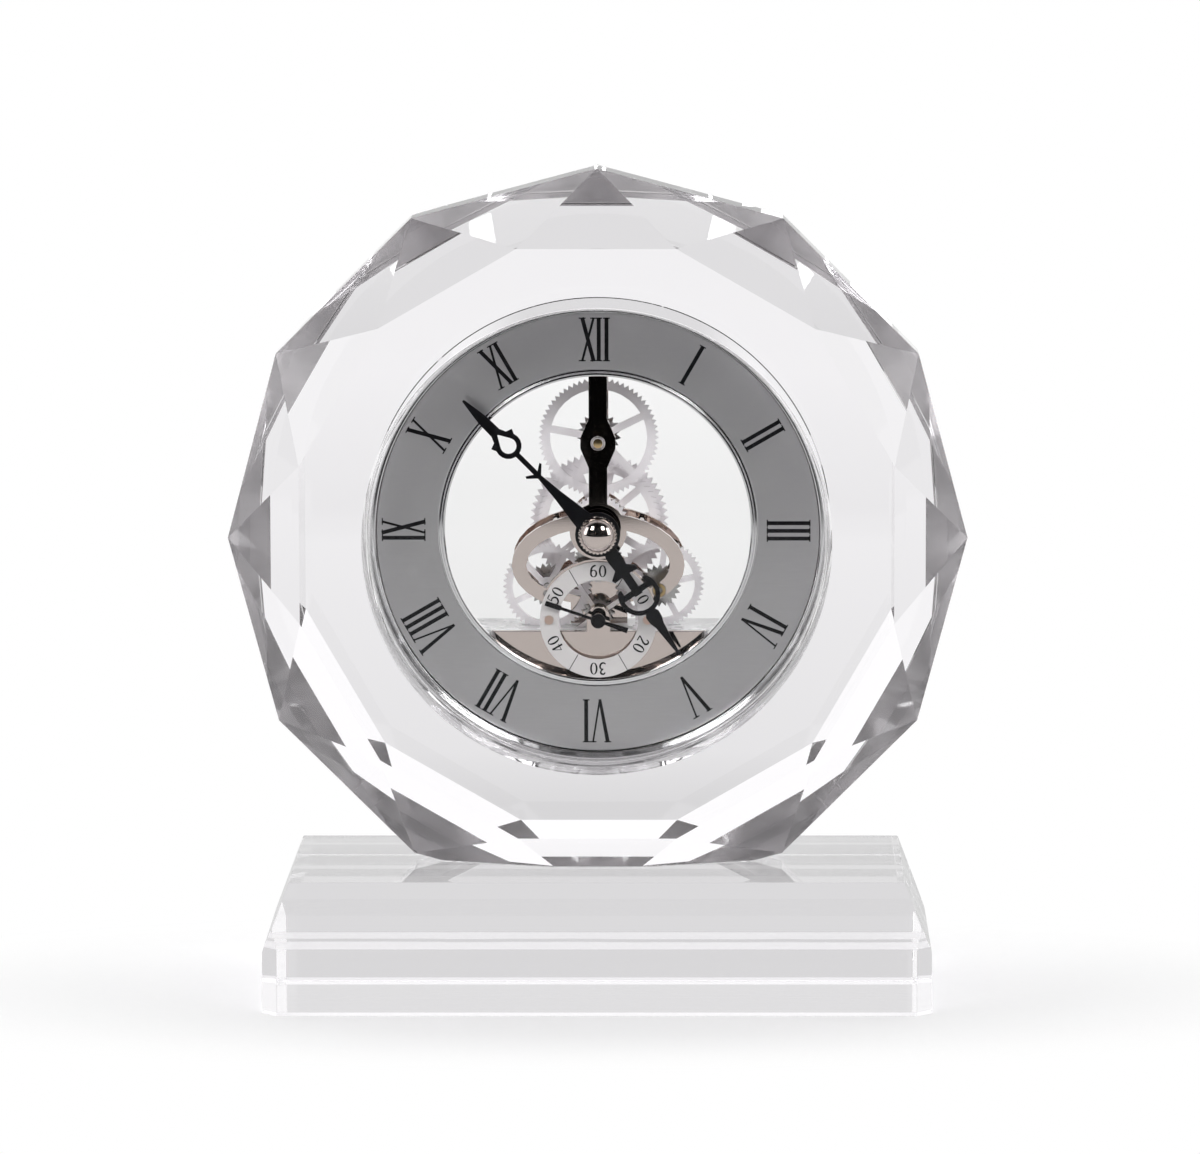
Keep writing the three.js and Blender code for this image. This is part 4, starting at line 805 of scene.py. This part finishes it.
def dome_nut():
    """The knurled rim and the polished dome over the hands."""
    outline = []
    for i in range(KNURLS * 8):
        turn = 2 * math.pi * i / (KNURLS * 8)
        radius = NUT_RADIUS - KNURL_DEPTH * (0.5 + 0.5 * math.cos(turn * KNURLS)) ** 2
        outline.append(around(CENTRE, radius, turn))
    rim = plate("nut_rim", [outline], NUT_LOW, NUT_RIM, 0.1)
    piece("nut_rim", rim, "minutes", NICKEL, ["dome_nut"])
    profile = [(0, NUT_RIM - 0.1), (DOME_RADIUS, NUT_RIM - 0.1)]
    for i in range(DOME_STEPS):
        turn = math.pi * i / (2 * DOME_STEPS)
        profile.append((DOME_RADIUS * math.cos(turn), NUT_RIM - 0.05 + DOME_RISE * math.sin(turn)))
    profile.append((0, NUT_RIM - 0.05 + DOME_RISE))
    piece("nut_dome", turned("nut_dome", profile, sides=96), "minutes", NICKEL)


WALL_STEPS, WALL_HALF_TURN, WALL_LEAN = 72, math.radians(44), 1.0


def opening_wall():
    """The dark wall between the lip and the bottom plate, leaned so that it shows as a crescent over the
    sixth hour: a dark steel sheet that is painted shade.
    """
    back = DIAL_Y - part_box("bottom_plate")[0].y / MM
    corners = []
    for i in range(WALL_STEPS + 1):
        turn = -math.pi / 2 + WALL_HALF_TURN * (2 * i / WALL_STEPS - 1)
        for radius in (OPENING_INNER + 0.02, OPENING_INNER + 0.5):
            x, y = around(OPENING_CENTRE, radius, turn)
            corners += [at(x, y, LIP_BACK), at(x, y + WALL_LEAN, back)]
    last = 4 * WALL_STEPS
    faces = [[0, 1, 3, 2], [last, last + 2, last + 3, last + 1]]
    for i in range(0, last, 4):
        for a, b in ((0, 1), (1, 3), (3, 2), (2, 0)):
            faces.append([i + a, i + b, i + 4 + b, i + 4 + a])
    mesh = new_mesh("opening_wall", corners, faces)
    tidy(mesh)
    smooth(mesh)
    # Painted shade: dark steel put where the gap between lip and plate lies in shade
    piece("opening_wall", mesh, "stand", DARK_STEEL)


def top_pivot():
    """The brass end of the top arbor, set in its dark bush."""
    radius, edge = 1.05, 0.95
    front = DIAL_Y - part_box("top_arbor")[0].y / MM
    back, face = front - 0.05, front + 0.02
    profile = [(0, back), (radius, back), (radius, front), (edge, face), (0, face)]
    piece("top_pivot_end", turned("top_pivot_end", profile, TOP, 48), "top", BRASS)


# CAD solids that keep their shape: edges eased, arbors shaded round
SHARP_EDGE = math.radians(42)
EASED_EDGE, EASED_GLASS_EDGE = math.radians(44), math.radians(8)
WELD_DISTANCE = 0.002 * MM


def shading_group():
    """Smooth shading that keeps the steep edges sharp."""
    tree = bpy.data.node_groups.new("eased_shading", "GeometryNodeTree")
    tree.interface.new_socket("Geometry", in_out="INPUT", socket_type="NodeSocketGeometry")
    tree.interface.new_socket("Geometry", in_out="OUTPUT", socket_type="NodeSocketGeometry")
    given = tree.nodes.new("NodeGroupInput").outputs[0]
    faces = wire(tree, "GeometryNodeSetShadeSmooth", {"Geometry": given, "Shade Smooth": True},
                 domain="FACE")
    angle = wire(tree, "GeometryNodeInputMeshEdgeAngle").outputs["Unsigned Angle"]
    steep = wire(tree, "FunctionNodeCompare", {0: angle, 1: SHARP_EDGE}, operation="GREATER_THAN")
    edges = wire(tree, "GeometryNodeSetShadeSmooth", {
        "Geometry": faces.outputs[0], "Selection": steep.outputs[0], "Shade Smooth": False}, domain="EDGE")
    wire(tree, "NodeGroupOutput", {0: edges.outputs[0]})
    return tree


SHADING = shading_group()


def dress(name, material, ease=0.0, flat_faces=False):
    """Weld and shade a CAD solid and ease its edges; cut glass keeps all its faces flat."""
    obj = nodes[name]
    mesh = obj.data
    if "custom_normal" in mesh.attributes:
        mesh.attributes.remove(mesh.attributes["custom_normal"])
    mesh.materials.clear()
    mesh.materials.append(material)
    weld = obj.modifiers.new("weld", "WELD")
    weld.merge_threshold = WELD_DISTANCE
    if ease:
        flat = obj.modifiers.new("flat", "DECIMATE")
        flat.decimate_type = "DISSOLVE"
        flat.angle_limit = math.radians(1)
    if flat_faces:
        mesh.shade_flat()
    else:
        obj.modifiers.new("shading", "NODES").node_group = SHADING
    if ease:
        edge = obj.modifiers.new("ease", "BEVEL")
        edge.width = ease * MM
        edge.segments = 2
        edge.limit_method = "ANGLE"
        edge.angle_limit = EASED_GLASS_EDGE if flat_faces else EASED_EDGE
        edge.harden_normals = not flat_faces


# Every CAD solid that is shown, by its finish and by how far its edges are eased
FINISHES = [
    (NICKEL, 0.12, ["front_bridge", "rear_bridge", "rear_plate", "bottom_plate"]),
    (NICKEL, 0.1, ["pillar_left", "pillar_right", "pillar_top"]),
    (BLACK, 0.06, ["minute_hand", "hour_hand", "seconds_hand"]),
    (STEEL, 0.0, ["stator", "contact_left", "contact_right", "seconds_arbor", "third_arbor", "right_arbor",
                  "centre_arbor", "cannon_pinion", "minute_wheel", "hour_wheel", "rotor",
                  "cover_screw_1", "cover_screw_2", "cover_screw_3", "cover_screw_4"]),
    (DARK_STEEL, 0.0, ["top_arbor", "top_bush"]),
    (BRASS, 0.0, ["right_bush", "seconds_collet"]),
    (COPPER, 0.0, ["seconds_rivet_left", "seconds_rivet_right"]),
    (WHITE, 0.08, ["movement_housing", "housing_lid", "battery_hatch"]),
    (CASE_METAL, 0.08, ["case_ring"]),
    (LENS, 0.0, ["rear_cover"]),
    (WIRE, 0.0, ["coil"]),
    (BOARD, 0.0, ["circuit_board"]),
    (CELL, 0.0, ["battery"]),
    (KNOB, 0.08, ["set_knob"]),
]
WHEELS = {"seconds_wheel": SECONDS, "third_wheel": THIRD, "right_wheel": RIGHT, "second_wheel": CENTRE,
          "second_pinion": CENTRE, "top_wheel": TOP, "centre_wheel": CENTRE, "idler_wheel": IDLER}


def dress_all():
    for material, ease, names in FINISHES:
        for name in names:
            dress(name, material, ease)
    dress("crystal_base", BASE_GLASS, ease=0.3, flat_faces=True)
    for name, place in WHEELS.items():
        dress(name, wheel_silver(name, place), ease=0.1)


crystal_body()
lens()
bezel()
dial()
lip()
gasket()
seconds_ring()
dome_nut()
opening_wall()
top_pivot()
roman_numerals()
seconds_print()
dress_all()


# Stage: a pale floor without an end, soft lamps, and the camera of the photograph
FLOOR_NEAR, FLOOR_FAR = 0.045, 0.085
FLOOR_RADIUS = 12
FRONT_LIT_END, FRONT_DARK = -0.73, -0.78
DARK = 0.002


def floor_material():
    """Paper that the lamps light; for metal and glass it glows instead at painted levels: greyer, with
    painted shade just behind the clock, and dark far in front.
    """
    made, tree = new_material("pale_floor")
    geometry = wire(tree, "ShaderNodeNewGeometry")
    place = geometry.outputs["Position"]
    paper = noise(tree, place, 400.0)
    lit = wire(tree, "ShaderNodeBsdfDiffuse", {"Color": spread(tree, paper, 0.92, 0.94)})
    depth = split(tree, place)["Y"]
    away = vector_node(tree, "LENGTH", vector_node(tree, "MULTIPLY", place, (0.45, 1.0, 1.0)))
    far = ramp(tree, away, FLOOR_NEAR, FLOOR_FAR, shape="SMOOTHSTEP")
    painted_front_glow = ramp(tree, depth, FRONT_DARK, FRONT_LIT_END, DARK, 0.66, "SMOOTHSTEP")
    close = ramp(tree, depth, -0.45, 0.0, 0.0, 0.06)
    # Painted shade: for metal and glass the floor just behind the clock stays darker, and grows lighter
    # farther behind
    behind = ramp(tree, depth, 0.24, 0.32, 0.0, 0.09)
    beyond = ramp(tree, depth, 0.3, 1.2, 0.0, 0.17)
    ahead = math_node(tree, "ADD", painted_front_glow, close)
    room = math_node(tree, "ADD", math_node(tree, "ADD", ahead, behind), beyond)
    path = wire(tree, "ShaderNodeLightPath").outputs
    level = math_node(tree, "MAXIMUM", room, path["Is Camera Ray"])
    glow = wire(tree, "ShaderNodeEmission", {"Color": level, "Strength": 1.0})
    by_glass = math_node(tree, "MAXIMUM", path["Is Glossy Ray"], path["Is Transmission Ray"])
    seen = math_node(tree, "MAXIMUM", by_glass, math_node(tree, "MULTIPLY", far, path["Is Camera Ray"]))
    both = wire(tree, "ShaderNodeMixShader", {0: seen, 1: lit.outputs[0], 2: glow.outputs[0]})
    nothing = wire(tree, "ShaderNodeBsdfTransparent")
    whole = wire(tree, "ShaderNodeMixShader", {
        0: geometry.outputs["Backfacing"], 1: both.outputs[0], 2: nothing.outputs[0]})
    wire(tree, "ShaderNodeOutputMaterial", {"Surface": whole.outputs[0]})
    return made


def floor():
    shape = bmesh.new()
    bmesh.ops.create_circle(shape, cap_ends=True, radius=FLOOR_RADIUS, segments=96)
    mesh = bpy.data.meshes.new("floor")
    shape.to_mesh(mesh)
    shape.free()
    obj = bpy.data.objects.new("floor", mesh)
    scene.collection.objects.link(obj)
    mesh.materials.append(floor_material())


def world():
    """A white wall behind the clock, brightest a little above the floor, in a room dark in front."""
    made = bpy.data.worlds.new("white_room")
    scene.world = made
    made.use_nodes = True
    tree = made.node_tree
    tree.nodes.clear()
    direction = wire(tree, "ShaderNodeTexCoord").outputs["Generated"]
    parts = split(tree, direction)
    back = ramp(tree, parts["Y"], -0.3, -0.05, DARK, 1.0, "SMOOTHSTEP")
    above = ramp(tree, parts["Z"], 0.205, 0.23, 0.8, 1.1, "SMOOTHSTEP")
    beside = ramp(tree, math_node(tree, "ABSOLUTE", parts["X"]), 0.08, 0.13, 0.8, 1.08, "SMOOTHSTEP")
    fall = ramp(tree, parts["Z"], 0.34, 0.5, 0.0, 0.38, "SMOOTHSTEP")
    lit = math_node(tree, "SUBTRACT", math_node(tree, "MAXIMUM", above, beside), fall)
    wall = math_node(tree, "MULTIPLY", back, lit)
    room = wire(tree, "ShaderNodeBackground", {"Color": wall, "Strength": 1.0})
    white = wire(tree, "ShaderNodeBackground", {"Color": rgba((1, 1, 1)), "Strength": 1.0})
    camera_ray = wire(tree, "ShaderNodeLightPath").outputs["Is Camera Ray"]
    both = wire(tree, "ShaderNodeMixShader", {0: camera_ray, 1: room.outputs[0], 2: white.outputs[0]})
    wire(tree, "ShaderNodeOutputWorld", {"Surface": both.outputs[0]})


def lamp(name, spot, aim, width, height, watts, through_glass=True):
    """A soft box at a spot, turned to an aim; glass may be kept from showing it."""
    data = bpy.data.lights.new(name, "AREA")
    data.shape = "RECTANGLE"
    data.size, data.size_y, data.energy = width, height, watts
    obj = bpy.data.objects.new(name, data)
    scene.collection.objects.link(obj)
    obj.location = spot
    obj.rotation_euler = (Vector(aim) - Vector(spot)).to_track_quat("-Z", "Y").to_euler()
    obj.visible_transmission = through_glass


CAMERA_TILT = math.radians(8.24)
CAMERA_AIM = Vector((0.02322, 0, 0.09107))
CAMERA_DISTANCE = 1.491


def camera():
    data = bpy.data.cameras.new("camera")
    obj = bpy.data.objects.new("camera", data)
    scene.collection.objects.link(obj)
    scene.camera = obj
    forward = Vector((0, math.cos(CAMERA_TILT), -math.sin(CAMERA_TILT)))
    obj.location = CAMERA_AIM - forward * CAMERA_DISTANCE
    obj.rotation_euler = (math.pi / 2 - CAMERA_TILT, 0, 0)
    data.lens = 206.2
    data.sensor_width = 36
    data.shift_x = -0.0875
    data.clip_start, data.clip_end = 0.05, 40


floor()
world()
lamp("top_softbox", (0, 0.1, 1.2), (0, 0, 0), 1.0, 0.8, 3, through_glass=False)
lamp("left_softbox", (-1.2, -0.5, 0.5), (0, 0, 0.1), 0.6, 0.8, 4)
lamp("right_softbox", (1.15, -0.65, 0.5), (0, 0, 0.1), 0.6, 0.8, 4)
lamp("front_left_softbox", (-0.9, -1.7, 1.3), (0, 0, 0.1), 0.5, 0.7, 11)
lamp("front_right_softbox", (0.9, -1.7, 1.3), (0, 0, 0.1), 0.5, 0.7, 11)
camera()
scene.view_settings.view_transform = "Standard"
scene.cycles.transparent_max_bounces = 32
scene.cycles.max_bounces = 24
scene.cycles.transmission_bounces = 24
scene.cycles.glossy_bounces = 8
